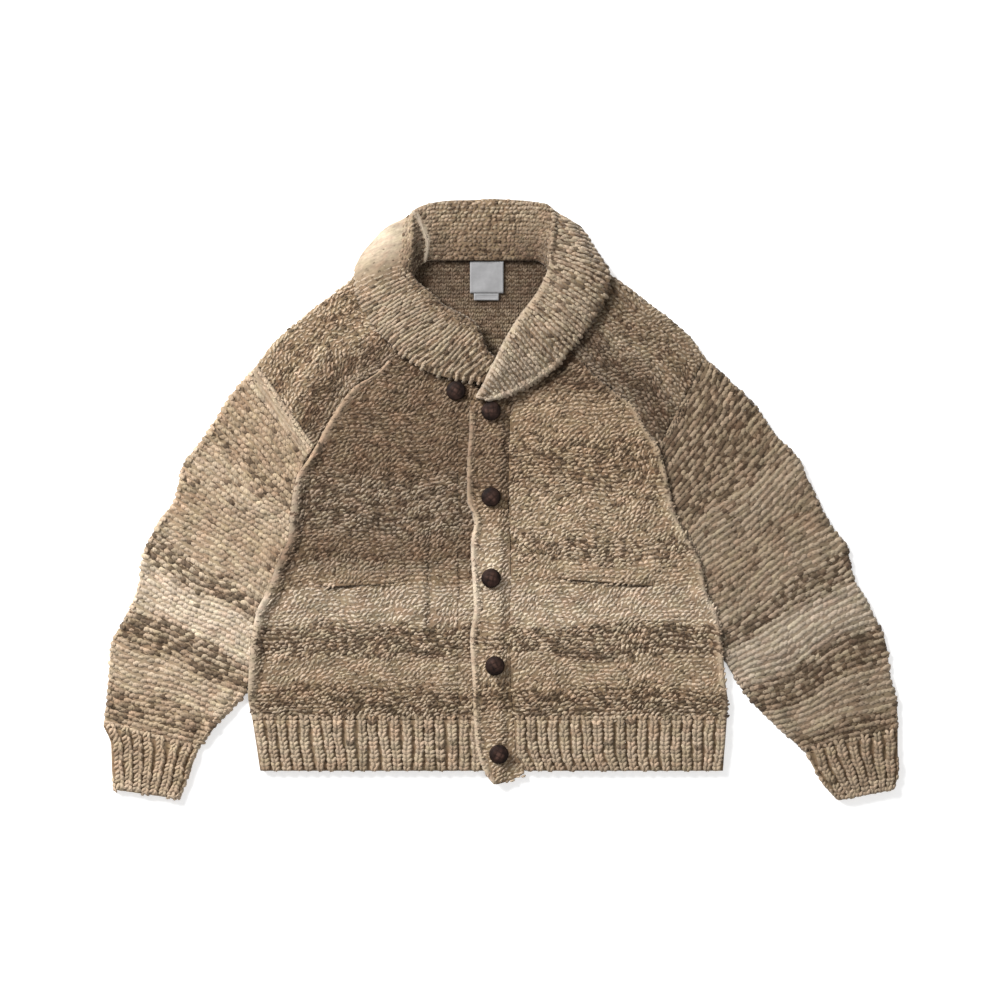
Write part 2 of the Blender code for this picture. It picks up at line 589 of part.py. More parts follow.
def build_pocket_welts():
    """Each slit's border: a strip on the front, whose lower edge stands free over the opening."""
    for side, (outer_end, inner_end) in POCKETS.items():
        (x0, y0), (x1, y1) = sorted([outer_end, inner_end])
        share = np.concatenate([[0], np.linspace(0.03, 0.97, 9), [1]])
        depth = np.array([0, 0.12, 0.5, 0.88, 1]) * WELT_DEPTH
        thin_edge = -0.4 * WELT_HEIGHT
        x = np.repeat((x0 + share * (x1 - x0))[None, :], len(depth), axis=0)
        y = (y0 + share * (y1 - y0))[None, :] + depth[:, None]
        below = front_layer(x, y) + WALL + SEAM
        lift = np.zeros_like(x)
        lift[[0, -1], :] = thin_edge
        lift[:, [0, -1]] = thin_edge
        top = np.stack([x, y, below + WELT_HEIGHT + lift], axis=2)
        bottom = np.stack([x, y, below], axis=2)
        solid(f"pocket_welt_{side}", top, bottom, WOOL["front"])


def build_labels():
    """Woven labels, one below the other, on the inside of the back under the neck seam."""
    for name, (x0, x1, y0, y1) in LABELS.items():
        x, y = np.meshgrid(np.linspace(x0, x1, 5), np.linspace(y0, y1, 4))
        bottom = np.stack([x, y, np.full_like(x, WALL + SEAM)], axis=2)
        solid(name, bottom + [0, 0, LABEL_THICKNESS], bottom, LABEL_WHITE, roughness=0.7)


def build_buttons():
    """Domed round buttons with a rolled rim, turned about their own axes."""
    radius = BUTTON_WIDTH / 2
    turns = 2 * math.pi * np.arange(BUTTON_SEGMENTS) / BUTTON_SEGMENTS
    for number, (x, y) in enumerate(BUTTONS, start=1):
        level = TOP_BUTTON_LEVEL if number == 1 else BUTTON_SEAT
        points = [
            (x + radius * r * math.cos(turn), y + radius * r * math.sin(turn), level + BUTTON_HEIGHT * h)
            for r, h in BUTTON_PROFILE
            for turn in turns
        ]
        points = np.array(points + [(x, y, level + BUTTON_HEIGHT)])
        points[:, :2] -= CENTRE
        around = np.arange(BUTTON_SEGMENTS)
        ahead = (around + 1) % BUTTON_SEGMENTS
        faces = [tuple(around)]
        for ring in range(len(BUTTON_PROFILE) - 1):
            low, high = ring * BUTTON_SEGMENTS, (ring + 1) * BUTTON_SEGMENTS
            faces += [(low + b, low + a, high + a, high + b) for a, b in zip(around, ahead)]
        rim, middle = len(points) - 1 - BUTTON_SEGMENTS, len(points) - 1
        faces += [(rim + b, rim + a, middle) for a, b in zip(around, ahead)]
        finished(f"button_{number}", points, faces, BUTTON_BROWN, 0.45)


for leftover in list(bpy.data.objects):
    bpy.data.objects.remove(leftover, do_unlink=True)

build_body()
build_bands()
build_shoulders_and_sleeves()
build_collar()
build_pocket_welts()
build_labels()
build_buttons()
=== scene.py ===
"""A hand-knitted shawl-collar cardigan, laid flat and buttoned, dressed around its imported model.

Sizes are in millimetres, in the garment's own frame: +Y from hem to neck, +X to the wearer's left,
+Z up from the surface it lies on. The meshes are made in metres.
"""

import json
import math

import bpy
import numpy as np
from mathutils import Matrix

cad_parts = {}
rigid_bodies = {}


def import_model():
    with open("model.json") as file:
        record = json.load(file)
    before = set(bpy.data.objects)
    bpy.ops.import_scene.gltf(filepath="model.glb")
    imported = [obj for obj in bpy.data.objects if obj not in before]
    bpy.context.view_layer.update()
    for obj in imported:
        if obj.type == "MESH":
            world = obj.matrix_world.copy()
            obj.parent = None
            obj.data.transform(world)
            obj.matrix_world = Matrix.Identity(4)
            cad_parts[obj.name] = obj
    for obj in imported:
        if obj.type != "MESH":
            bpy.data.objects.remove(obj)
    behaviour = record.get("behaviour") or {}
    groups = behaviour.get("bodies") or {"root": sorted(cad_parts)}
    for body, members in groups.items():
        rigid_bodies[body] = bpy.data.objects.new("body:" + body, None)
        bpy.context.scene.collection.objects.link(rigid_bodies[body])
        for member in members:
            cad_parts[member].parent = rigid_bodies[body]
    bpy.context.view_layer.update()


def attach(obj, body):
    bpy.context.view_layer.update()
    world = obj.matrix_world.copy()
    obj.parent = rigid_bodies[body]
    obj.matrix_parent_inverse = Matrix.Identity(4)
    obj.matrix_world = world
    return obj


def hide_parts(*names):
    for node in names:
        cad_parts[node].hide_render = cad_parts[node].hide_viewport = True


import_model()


# Back body. One panel of bulky single jersey, knitted in rows from the hem rib up, purl side out, so
# that its knit side shows inside the neck as columns of V stitches. It lies under all the rest, and
# the fronts, yokes, sleeves and collar are sewn to it.

METRES = 0.001
WALL = 5.0  # thickness of the knitted cloth
SEAM = 0.3  # gap between sewn pieces, and between a piece and what it lies on
PLIES = 0.6  # slot between the front layer and the back layer
SINK = 1.3  # how far the cloth's ground lies below the tops of its stitches
BACK_SINK = 2.4  # the same on the back, where the labels lie on the stitches
EDGE_ROUND = 4.5  # how far in from an edge its rounding reaches
EDGE_DROP = 2.4
STEP = 4.6  # spacing of the cloth's grid
BACK_STEP = 9.0
END_STEP = 1.3  # its spacing at an edge
FINE_REACH = 4.0  # how far in from an edge the spacing stays fine
SLANTED_SEAM = 0.45
SLEEVE_SEAM = 1.6
NECK_BACK = 309.0
HEM_TOP = -282.0
HEM_END = -347.0
NECK_SHOWN = 120.0  # the back shows inside the neck above this level
CENTRE = (0.4, 1.0)  # middle of the garment's outline, which is the origin

# How dark a point is drawn for where it lies in the knitting. The dark ground at PIT, in the pits between the
# stitches, is painted shade
PIT = 0.0
HIDDEN_FACE = 0.55
STITCH_SHADE = 0.58  # stitches differ from it by up to their shade unevenness
PLAIN = 1.0  # a smooth selvage

RAGLAN_RIGHT = [(-117, 206), (-127, 196), (-157, 165), (-191, 142), (-208, 119), (-225, 92), (-237, 68)]
RAGLAN_LEFT = [(78, 202), (95, 186), (127, 155), (157, 131), (171, 121), (184, 97), (203, 68)]
NECK_SIDE_RIGHT = [(-113, 309), (-114, 206)]
NECK_SIDE_LEFT = [(62, 309), (62, 303), (76, 202)]
SIDE_RIGHT = [
    (-237, 68), (-248, 49), (-260, 32), (-268, -8), (-271, -47), (-287, -84), (-298, -115), (-312, -142),
    (-318, -175), (-322, -215), (-323, -252), (-318, -282), (-308, -347),
]
SIDE_LEFT = [
    (203, 68), (211, 40), (214, 26), (225, -20), (243, -54), (258, -86), (264, -118), (278, -147),
    (285, -197), (287, -225), (291, -259), (290, -282), (285, -347),
]
SLEEVE_IN_RIGHT = [
    (-255, 32), (-263, -8), (-266, -47), (-282, -84), (-292, -115), (-307, -142), (-313, -175),
    (-317, -215), (-322, -241), (-345, -270), (-365, -291), (-378, -308), (-388, -320),
]
SLEEVE_IN_LEFT = [
    (206, 40), (220, -20), (237, -54), (253, -86), (259, -118), (273, -147), (280, -179),
    (285, -200), (300, -229), (318, -255), (354, -291), (390, -323),
]

# The undyed fleeces that the wool is spun from, as they look on screen
FLEECES = {
    "cream": (196, 179, 158), "oatmeal": (180, 161, 138), "fawn": (168, 147, 123),
    "grey": (154, 137, 118), "brown": (137, 117, 97),
}
DARK_FLEECE = (62, 46, 32)


def curve(knots, values, where):
    """The smooth curve through values at knots, read at where. It never overshoots a value."""
    knots, values, where = np.array(knots, float), np.array(values, float), np.array(where, float)
    gaps = np.diff(knots)[:, None]
    slopes = np.diff(values, axis=0) / gaps
    tangents = np.zeros_like(values)
    tangents[0], tangents[-1] = slopes[0], slopes[-1]
    same_way = slopes[:-1] * slopes[1:] > 0
    first, second = 2 * gaps[1:] + gaps[:-1], gaps[1:] + 2 * gaps[:-1]
    before, after = np.where(same_way, slopes[:-1], 1.0), np.where(same_way, slopes[1:], 1.0)
    tangents[1:-1] = np.where(same_way, (first + second) / (first / before + second / after), 0.0)
    i = np.clip(np.searchsorted(knots, where, side="right") - 1, 0, len(knots) - 2)
    gap = gaps[i]
    t = (where - knots[i])[:, None] / gap
    return (
        (1 + 2 * t) * (1 - t) ** 2 * values[i]
        + t * (1 - t) ** 2 * gap * tangents[i]
        + t**2 * (3 - 2 * t) * values[i + 1]
        + t**2 * (t - 1) * gap * tangents[i + 1]
    )


def x_at(points, y):
    """The x of an edge that runs down the garment, at each y."""
    edge = np.array(points, float)[::-1]
    return curve(edge[:, 1], edge[:, :1], np.clip(y, edge[0, 1], edge[-1, 1]))[:, 0]


def runs(*parts):
    """An edge made of (points, shift along x) one below another, as a function of y."""

    def x_of(y):
        x = x_at(parts[0][0], y) + parts[0][1]
        for points, shift in parts[1:]:
            x = np.where(y <= points[0][1], x_at(points, y) + shift, x)
        return x

    return x_of


def smooth_step(x):
    x = np.clip(x, 0, 1)
    return x * x * (3 - 2 * x)


def near(x, place, reach):
    """One at the place, and falling softly to nothing within about twice the reach of it."""
    return np.exp(-(((x - place) / reach) ** 2))


def run_along(points):
    """How far along a line of points each one lies."""
    return np.concatenate([[0], np.cumsum(np.linalg.norm(np.diff(points, axis=0), axis=-1))])


def spaced(start, end, step, fine=()):
    """Levels from start to end about a step apart, closer at both ends and round the levels in fine.
    Their number is one more than a multiple of four, so that a coarser wall can share every fourth."""
    length = abs(end - start)
    d = np.linspace(0, length, 4001)
    rate = 1 / step + (np.exp(-d / FINE_REACH) + np.exp(-(length - d) / FINE_REACH)) / END_STEP
    for level in fine:
        rate += near(d, abs(level - start), 2 * FINE_REACH) / END_STEP
    total = np.concatenate([[0], np.cumsum((rate[1:] + rate[:-1]) / 2 * np.diff(d))])
    count = 4 * math.ceil(total[-1] / 4)
    levels = np.interp(np.linspace(0, total[-1], count + 1), total, d)
    return start + math.copysign(1, end - start) * levels


def uneven(x, y, size, seed):
    """A smooth uneven field, mostly between -1 and 1, whose lumps have the given size."""
    draw = np.random.default_rng(seed)
    field = np.zeros(np.broadcast(x, y).shape)
    for _ in range(7):
        turn, phase, stretch = draw.uniform(0, 2 * math.pi, 2).tolist() + [draw.uniform(0.7, 1.5)]
        field += np.sin((x * math.cos(turn) + y * math.sin(turn)) * math.pi * stretch / size + phase)
    return field / 3


def edge_drop(distance):
    """How far the upper face falls towards an edge, as a quarter of an ellipse."""
    return EDGE_DROP * (1 - np.sqrt(1 - (1 - np.clip(distance / EDGE_ROUND, 0, 1)) ** 2))


FULL_SPACING = 0.35  # rows narrower than this share of the widest one are spaced more closely
KEPT_SPACING = 0.05  # share of a row at each end whose spacing doesn't change with its width


def panel(left, right, rows, rests_on, columns=0, rounded=(1, 1, 1, 1), sink=SINK):
    """A flat-knitted panel between two edges, each a function of y: its upper and lower faces, and each
    point's distance from both edges. rounded is how far its left, right, top and bottom edge fall."""
    x_left, x_right = left(rows)[:, None], right(rows)[:, None]
    width = x_right - x_left
    widest = float(width.max())
    if columns:
        narrow = 1.0
        x = x_left + np.linspace(0, 1, columns + 1) * width
    else:
        narrow = np.clip(width / (FULL_SPACING * widest), 0.001, 1)
        place = spaced(0, widest, STEP)
        taken_in = np.clip((place / widest - KEPT_SPACING) / (1 - 2 * KEPT_SPACING), 0, 1)
        x = x_left + place * narrow - (widest * narrow - width) * taken_in
    y = np.repeat(rows[:, None], x.shape[1], axis=1)
    below = rests_on(x, y)
    from_left, from_right = (x - x_left) / narrow, (x_right - x) / narrow
    lift = np.zeros_like(x)
    for share, distance in zip(rounded, (from_left, from_right, rows[0] - y, y - rows[-1])):
        lift -= share * edge_drop(distance)
    lift = np.maximum(lift, -EDGE_DROP)
    upper = np.stack([x, y, below + WALL - sink + lift], axis=2)
    lower = np.stack([x, y, below + 0 * x], axis=2)
    return upper, lower, from_left, from_right


def in_the_knitting(u, v, shade=PIT):
    """Places in the knitting along a row and across the rows, in metres, with a shade."""
    return np.stack([u * METRES, v * METRES, shade + np.zeros_like(u)], axis=2)


def quads_of(grid):
    """The faces between the points of a grid of point numbers."""
    return np.stack([grid[:-1, :-1], grid[:-1, 1:], grid[1:, 1:], grid[1:, :-1]], axis=2).reshape(-1, 4)


def marked(mesh, name, values):
    """Keeps a vector at each point of a mesh under a name."""
    attribute = mesh.attributes.new(name, "FLOAT_VECTOR", "POINT")
    attribute.data.foreach_set("vector", np.asarray(values).reshape(-1))


def set_down(name, data):
    """A new object in the scene that holds the data."""
    made = bpy.data.objects.new(name, data)
    bpy.context.collection.objects.link(made)
    return made


def cloth(name, upper, lower, knit, wool, ring=False):
    """A closed thin shell between its upper face and every fourth point of its lower face. knit holds
    where each point lies in the knitting."""
    across = 1 if ring else 4
    lower = lower[::4, ::across]
    rows, cols = upper.shape[:2]
    low_rows, low_cols = lower.shape[:2]
    points = np.concatenate([upper.reshape(-1, 3), lower.reshape(-1, 3)])
    points[:, :2] -= CENTRE
    up = np.arange(rows * cols).reshape(rows, cols)
    low = np.arange(low_rows * low_cols).reshape(low_rows, low_cols) + rows * cols
    if ring:
        up, low = np.column_stack([up, up[:, :1]]), np.column_stack([low, low[:, :1]])
    faces = quads_of(up).tolist() + quads_of(low)[:, ::-1].tolist()
    for row, low_row, turned in ((up[0], low[0], True), (up[-1], low[-1], False)):
        for j in range(low.shape[1] - 1):
            face = row[j * across : (j + 1) * across + 1].tolist() + [low_row[j + 1], low_row[j]]
            faces.append(face[::-1] if turned else face)
    if not ring:
        for column, low_column, turned in ((up[:, 0], low[:, 0], False), (up[:, -1], low[:, -1], True)):
            for i in range(low_rows - 1):
                face = column[i * 4 : (i + 1) * 4 + 1].tolist() + [low_column[i + 1], low_column[i]]
                faces.append(face[::-1] if turned else face)
    mesh = bpy.data.meshes.new(name)
    mesh.from_pydata((points * METRES).tolist(), [], [[int(corner) for corner in face] for face in faces])
    low_knit = knit[::4, ::across].copy()
    low_knit[..., 2] = HIDDEN_FACE
    marked(mesh, "knit", np.concatenate([knit.reshape(-1), low_knit.reshape(-1)]))
    mesh.calc_loop_triangles()
    corners = np.array([triangle.vertices for triangle in mesh.loop_triangles])
    if np.linalg.det(points[corners]).sum() < 0:
        mesh.flip_normals()
    mesh.shade_smooth()
    mesh.materials.append(wool)
    return set_down(name, mesh)


BLUNTNESS = 0.6  # below 1 a bead's ends are blunter than an ellipse's


def turned_by(degrees):
    """What points are multiplied by to turn them in plan."""
    cos, sin = math.cos(math.radians(degrees)), math.sin(math.radians(degrees))
    return np.array([[cos, sin, 0], [-sin, cos, 0], [0, 0, 1]])


def bead(length, width, height, at=(0, 0, 0), turn=0.0, arch=0.0, sides=6, rings=4, droop=0.03):
    """One visible length of yarn as a closed bead along x, arched and turned in plan: its points,
    faces, and each point's place on the straight bead."""
    points = [(-1, 0, 0)]
    for ring in range(1, rings):
        angle = math.pi * ring / rings
        radius = math.sin(angle) ** BLUNTNESS
        for side in range(sides):
            around = 2 * math.pi * (side + 0.5) / sides
            points.append((-math.cos(angle), radius * math.cos(around), radius * math.sin(around)))
    points = np.array(points + [(1, 0, 0)]) * [length / 2, width / 2, height / 2]
    last = len(points) - 1
    faces = []
    for side in range(sides):
        ahead = (side + 1) % sides
        faces.append((0, 1 + ahead, 1 + side))
        for ring in range(rings - 2):
            low, high = 1 + ring * sides, 1 + (ring + 1) * sides
            faces.append((low + side, low + ahead, high + ahead, high + side))
        faces.append((last, last - sides + side, last - sides + ahead))
    bent = points.copy()
    bent[:, 1] += arch * (points[:, 0] ** 2 - (length / 2) ** 2 / 2)
    bent[:, 2] -= droop * points[:, 0] ** 2
    return bent @ turned_by(turn) + at, faces, points


def stitch_of(name, *beads):
    """A stitch made of beads of yarn, as a template that the knitting repeats."""
    points, faces, plies = [], [], []
    for placed, sides, straight in beads:
        faces += [tuple(len(points) + corner for corner in face) for face in sides]
        points += placed.tolist()
        plies += straight.tolist()
    mesh = bpy.data.meshes.new(name)
    mesh.from_pydata((np.array(points) * METRES).tolist(), [], faces)
    marked(mesh, "ply", np.array(plies) * METRES)
    mesh.shade_smooth()
    return bpy.data.objects.new(name, mesh)


def plug(tree, node, inputs):
    """Links each of a node's inputs to a socket, or sets it to a value."""
    for key, value in inputs.items():
        if isinstance(value, bpy.types.NodeSocket):
            tree.links.new(value, node.inputs[key])
        else:
            node.inputs[key].default_value = value


def add(tree, kind, inputs=None, **settings):
    """A new node with its settings and inputs."""
    node = tree.nodes.new(kind)
    for key, value in settings.items():
        setattr(node, key, value)
    plug(tree, node, inputs or {})
    return node


def maths(tree, operation, *values):
    return add(tree, "ShaderNodeMath", dict(enumerate(values)), operation=operation).outputs[0]


def vectors(tree, operation, *values, **named):
    inputs = {**dict(enumerate(values)), **named}
    return add(tree, "ShaderNodeVectorMath", inputs, operation=operation).outputs


def knitting_tree():
    """Rows of stitches laid over the faces of a guide, whose UV map gives the places in the knitting."""
    tree = bpy.data.node_groups.new("knitting", "GeometryNodeTree")
    sizes = {
        "Geometry": ["Guide"], "Object": ["Stitch"], "Material": ["Wool"], "Vector": ["First Place"],
        "Int": ["Columns", "Rows", "Seed"],
        "Float": [
            "Stitch Width", "Row Height", "Row Shift", "Turn Unevenness", "Size Unevenness",
            "Place Unevenness", "Yarn Unevenness", "Shade Unevenness", "Steepest Face", "Lowest Place",
        ],
    }
    for kind, names in sizes.items():
        for name in names:
            tree.interface.new_socket(name, in_out="INPUT", socket_type=f"NodeSocket{kind}")
    tree.interface.new_socket("Knitting", in_out="OUTPUT", socket_type="NodeSocketGeometry")
    given = tree.nodes.new("NodeGroupInput").outputs
    index = add(tree, "GeometryNodeInputIndex").outputs[0]
    column = maths(tree, "MODULO", index, given["Columns"])
    row = maths(tree, "FLOOR", maths(tree, "DIVIDE", index, given["Columns"]))

    def random(low, high, salt, of=index):
        seed = maths(tree, "ADD", given["Seed"], float(salt))
        inputs = {2: low, 3: high, "ID": of, "Seed": seed}
        return add(tree, "FunctionNodeRandomValue", inputs, data_type="FLOAT").outputs[1]

    def either_way(socket, salt):
        return random(maths(tree, "MULTIPLY", socket, -1.0), socket, salt)

    def named(name):
        node = add(tree, "GeometryNodeInputNamedAttribute", {"Name": name}, data_type="FLOAT_VECTOR")
        return node.outputs[0]

    first = add(tree, "ShaderNodeSeparateXYZ", {0: given["First Place"]}).outputs
    astray = given["Place Unevenness"]
    shift = random(0.0, given["Row Shift"], 8, row)
    along = maths(tree, "ADD", maths(tree, "ADD", column, shift), either_way(astray, 1))
    across = maths(tree, "ADD", row, either_way(astray, 2))
    u = maths(tree, "MULTIPLY_ADD", along, given["Stitch Width"], first["X"])
    v = maths(tree, "MULTIPLY_ADD", across, given["Row Height"], first["Y"])
    place = add(tree, "ShaderNodeCombineXYZ", {"X": u, "Y": v}).outputs[0]
    uv = named("courses")

    def sampled(value):
        inputs = {"Mesh": given["Guide"], "Value": value, "UV Map": uv, "Sample UV": place}
        node = add(tree, "GeometryNodeSampleUVSurface", inputs, data_type="FLOAT_VECTOR")
        return node.outputs["Value"], node.outputs["Is Valid"]

    here = add(tree, "GeometryNodeInputPosition").outputs[0]
    where, on_cloth = sampled(here)
    outward, _ = sampled(named("outward"))
    course, _ = sampled(named("course"))
    facing = add(tree, "ShaderNodeSeparateXYZ", {0: outward}).outputs["Z"]
    seen = add(tree, "FunctionNodeCompare", {0: facing, 1: given["Steepest Face"]}, operation="GREATER_THAN")
    kept = add(tree, "FunctionNodeBooleanMath", {0: on_cloth, 1: seen.outputs[0]}, operation="AND").outputs[0]
    count = maths(tree, "MULTIPLY", given["Columns"], given["Rows"])
    points = add(tree, "GeometryNodePoints", {"Count": count, "Position": where}).outputs[0]
    shade = maths(tree, "ADD", STITCH_SHADE, either_way(given["Shade Unevenness"], 7))
    mark = add(tree, "ShaderNodeCombineXYZ", {"X": u, "Y": v, "Z": shade}).outputs[0]
    shaded = add(
        tree, "GeometryNodeStoreNamedAttribute", {"Geometry": points, "Name": "knit", "Value": mark},
        data_type="FLOAT_VECTOR", domain="POINT",
    ).outputs[0]
    upright = add(
        tree, "FunctionNodeAxesToRotation", {"Primary Axis": outward, "Secondary Axis": course},
        primary_axis="Z", secondary_axis="X",
    ).outputs[0]
    turn = add(tree, "ShaderNodeCombineXYZ", {"Z": either_way(given["Turn Unevenness"], 3)}).outputs[0]
    turned = add(tree, "FunctionNodeRotateRotation", {0: upright, 1: turn}, rotation_space="LOCAL").outputs[0]
    size = [maths(tree, "ADD", 1.0, either_way(given["Size Unevenness"], salt)) for salt in (4, 5, 6)]
    scale = add(tree, "ShaderNodeCombineXYZ", dict(zip("XYZ", size))).outputs[0]
    template = add(tree, "GeometryNodeObjectInfo", {"Object": given["Stitch"]}).outputs["Geometry"]
    laid = add(
        tree, "GeometryNodeInstanceOnPoints",
        {"Points": shaded, "Selection": kept, "Instance": template, "Rotation": turned, "Scale": scale},
    ).outputs[0]
    real = add(tree, "GeometryNodeRealizeInstances", {"Geometry": laid}).outputs[0]
    lumps = add(tree, "ShaderNodeTexNoise", {"Vector": here, "Scale": 1 / (LUMP * METRES)}).outputs["Color"]
    either_side = vectors(tree, "SUBTRACT", lumps, (0.5, 0.5, 0.5))[0]
    moved = vectors(tree, "SCALE", either_side, Scale=given["Yarn Unevenness"])[0]
    lumpy = add(tree, "GeometryNodeSetPosition", {"Geometry": real, "Offset": moved}).outputs[0]
    floor = {"X": -10.0, "Y": -10.0, "Z": given["Lowest Place"]}
    lowest = add(tree, "ShaderNodeCombineXYZ", floor).outputs[0]
    lifted = vectors(tree, "MAXIMUM", here, lowest)[0]
    resting = add(tree, "GeometryNodeSetPosition", {"Geometry": lumpy, "Position": lifted}).outputs[0]
    wool = {"Geometry": resting, "Material": given["Wool"]}
    add(tree, "NodeGroupOutput", {0: add(tree, "GeometryNodeSetMaterial", wool).outputs[0]})
    return tree


LUMP = 2.2  # size of the lumps in the handspun yarn
LUMPINESS = 2.2  # how far they move its surface
SLANT_PATCH = 48.0  # size of the patches in which stitches slant the same way
KNITTING = knitting_tree()


def stitches(
    name, guide, u, v, stitch, wool, seed,
    shift=1, turn=20, size=0.22, astray=0.18, lean=0, slant=0, shades=0.28, steepest=-0.3,
):
    """Raised stitches over a guide grid, as one plain mesh. u and v give each point's place in the
    knitting, along a row and across the rows; stitch is (template, stitch width, row height). They
    lean by lean degrees, and whole patches of them by up to slant degrees more."""
    template, width, height = stitch
    down, over = np.gradient(guide, axis=0), np.gradient(guide, axis=1)
    u_down, u_over = np.gradient(u, axis=0), np.gradient(u, axis=1)
    v_down, v_over = np.gradient(v, axis=0), np.gradient(v, axis=1)
    along_row = (v_down[..., None] * over - v_over[..., None] * down)
    course = along_row * np.sign(u_over * v_down - u_down * v_over)[..., None]
    course /= np.linalg.norm(course, axis=2, keepdims=True) + 1e-9
    outward = np.cross(down, over)
    outward /= np.linalg.norm(outward, axis=2, keepdims=True) + 1e-9
    if outward.reshape(-1, 3)[guide[..., 2].argmax(), 2] < 0:
        outward = -outward
    leaning = lean + slant * uneven(guide[..., 0], guide[..., 1], SLANT_PATCH, seed + 50)
    leaning = np.radians(leaning)[..., None]
    course = course * np.cos(leaning) + np.cross(outward, course) * np.sin(leaning)
    rows, cols = guide.shape[:2]
    points = guide.reshape(-1, 3) - [*CENTRE, 0]
    quads = quads_of(np.arange(rows * cols).reshape(rows, cols))
    mesh = bpy.data.meshes.new(name)
    mesh.from_pydata((points * METRES).tolist(), [], quads.tolist())
    marked(mesh, "outward", outward)
    marked(mesh, "course", course)
    places = np.stack([u, v], axis=2).reshape(-1, 2) * METRES
    corners = np.zeros(len(mesh.loops), int)
    mesh.loops.foreach_get("vertex_index", corners)
    mesh.uv_layers.new(name="courses").data.foreach_set("uv", places[corners].reshape(-1))
    base = set_down(name, mesh)
    knit = base.modifiers.new("knitting", "NODES")
    knit.node_group = KNITTING
    first = [(math.floor(place.min() / gap) + 0.5) * gap * METRES for place, gap in ((u, width), (v, height))]
    sizes = {
        "Stitch": template, "Wool": wool, "First Place": (*first, 0.0),
        "Columns": int((u.max() - u.min()) / width) + 2, "Rows": int((v.max() - v.min()) / height) + 2,
        "Stitch Width": width * METRES, "Row Height": height * METRES, "Row Shift": shift,
        "Turn Unevenness": math.radians(turn), "Size Unevenness": size, "Place Unevenness": astray,
        "Yarn Unevenness": LUMPINESS * METRES, "Shade Unevenness": shades, "Steepest Face": steepest,
        "Lowest Place": SEAM * METRES, "Seed": seed,
    }
    for item in KNITTING.interface.items_tree:
        if item.in_out == "INPUT" and item.name in sizes:
            knit[item.identifier] = sizes[item.name]
    bpy.context.view_layer.update()
    graph = bpy.context.evaluated_depsgraph_get()
    made = bpy.data.meshes.new_from_object(base.evaluated_get(graph))
    made.name = name
    base.modifiers.remove(knit)
    base.data = made
    bpy.data.meshes.remove(mesh)
    return base


def linear(bytes_on_screen, lightness=1.0):
    """The linear light of a colour on screen."""
    return [lightness * ((c / 255 + 0.055) / 1.055) ** 2.4 for c in bytes_on_screen]


def material(name):
    """A new material, its node tree and its shader."""
    made = bpy.data.materials.new(name)
    made.use_nodes = True
    return made, made.node_tree, made.node_tree.nodes["Principled BSDF"]


def ramp(tree, factor, stops):
    """A colour ramp through stops of a position and a colour."""
    node = add(tree, "ShaderNodeValToRGB", {0: factor})
    elements = node.color_ramp.elements
    for i, (position, colour) in enumerate(stops):
        stop = elements[0] if i == 0 else elements.new(position) if i < len(stops) - 1 else elements[-1]
        stop.position = position
        stop.color = colour
    return node.outputs


DRIFT = (110, 42, 3.0)  # length, height and detail of the waves in which the bands wander
FLECKS = (7, 4.5)  # length and height of the dark strands
FLECK_EDGE = 0.06
DARKEST = 0.78  # the dark fleece's share inside a strand
TINTS = (24, 13)  # patches of rosier and of greener wool
MOTTLES = (((30, 13), 1.0), ((5, 3.5), 0.9))  # patches of lighter wool, and how much they vary
PLY_TWIST = (1500, 1100, 1100)
WARM_TO_COOL = [(0.34, (1.06, 0.985, 0.965, 1)), (0.5, (1, 1, 1, 1)), (0.66, (0.97, 1.0, 0.955, 1))]
# Painted shade: at the bottom of a pit the wool is drawn dark and browner
DEPTHS = [  # how wool looks from the bottom of a pit to a smooth selvage
    (PIT, (0.54, 0.48, 0.41, 1)), (0.3, (0.84, 0.82, 0.78, 1)), (HIDDEN_FACE, (1, 1, 1, 1)),
    (0.86, (1.13, 1.13, 1.15, 1)), (PLAIN, (1.8, 1.8, 1.82, 1)),
]


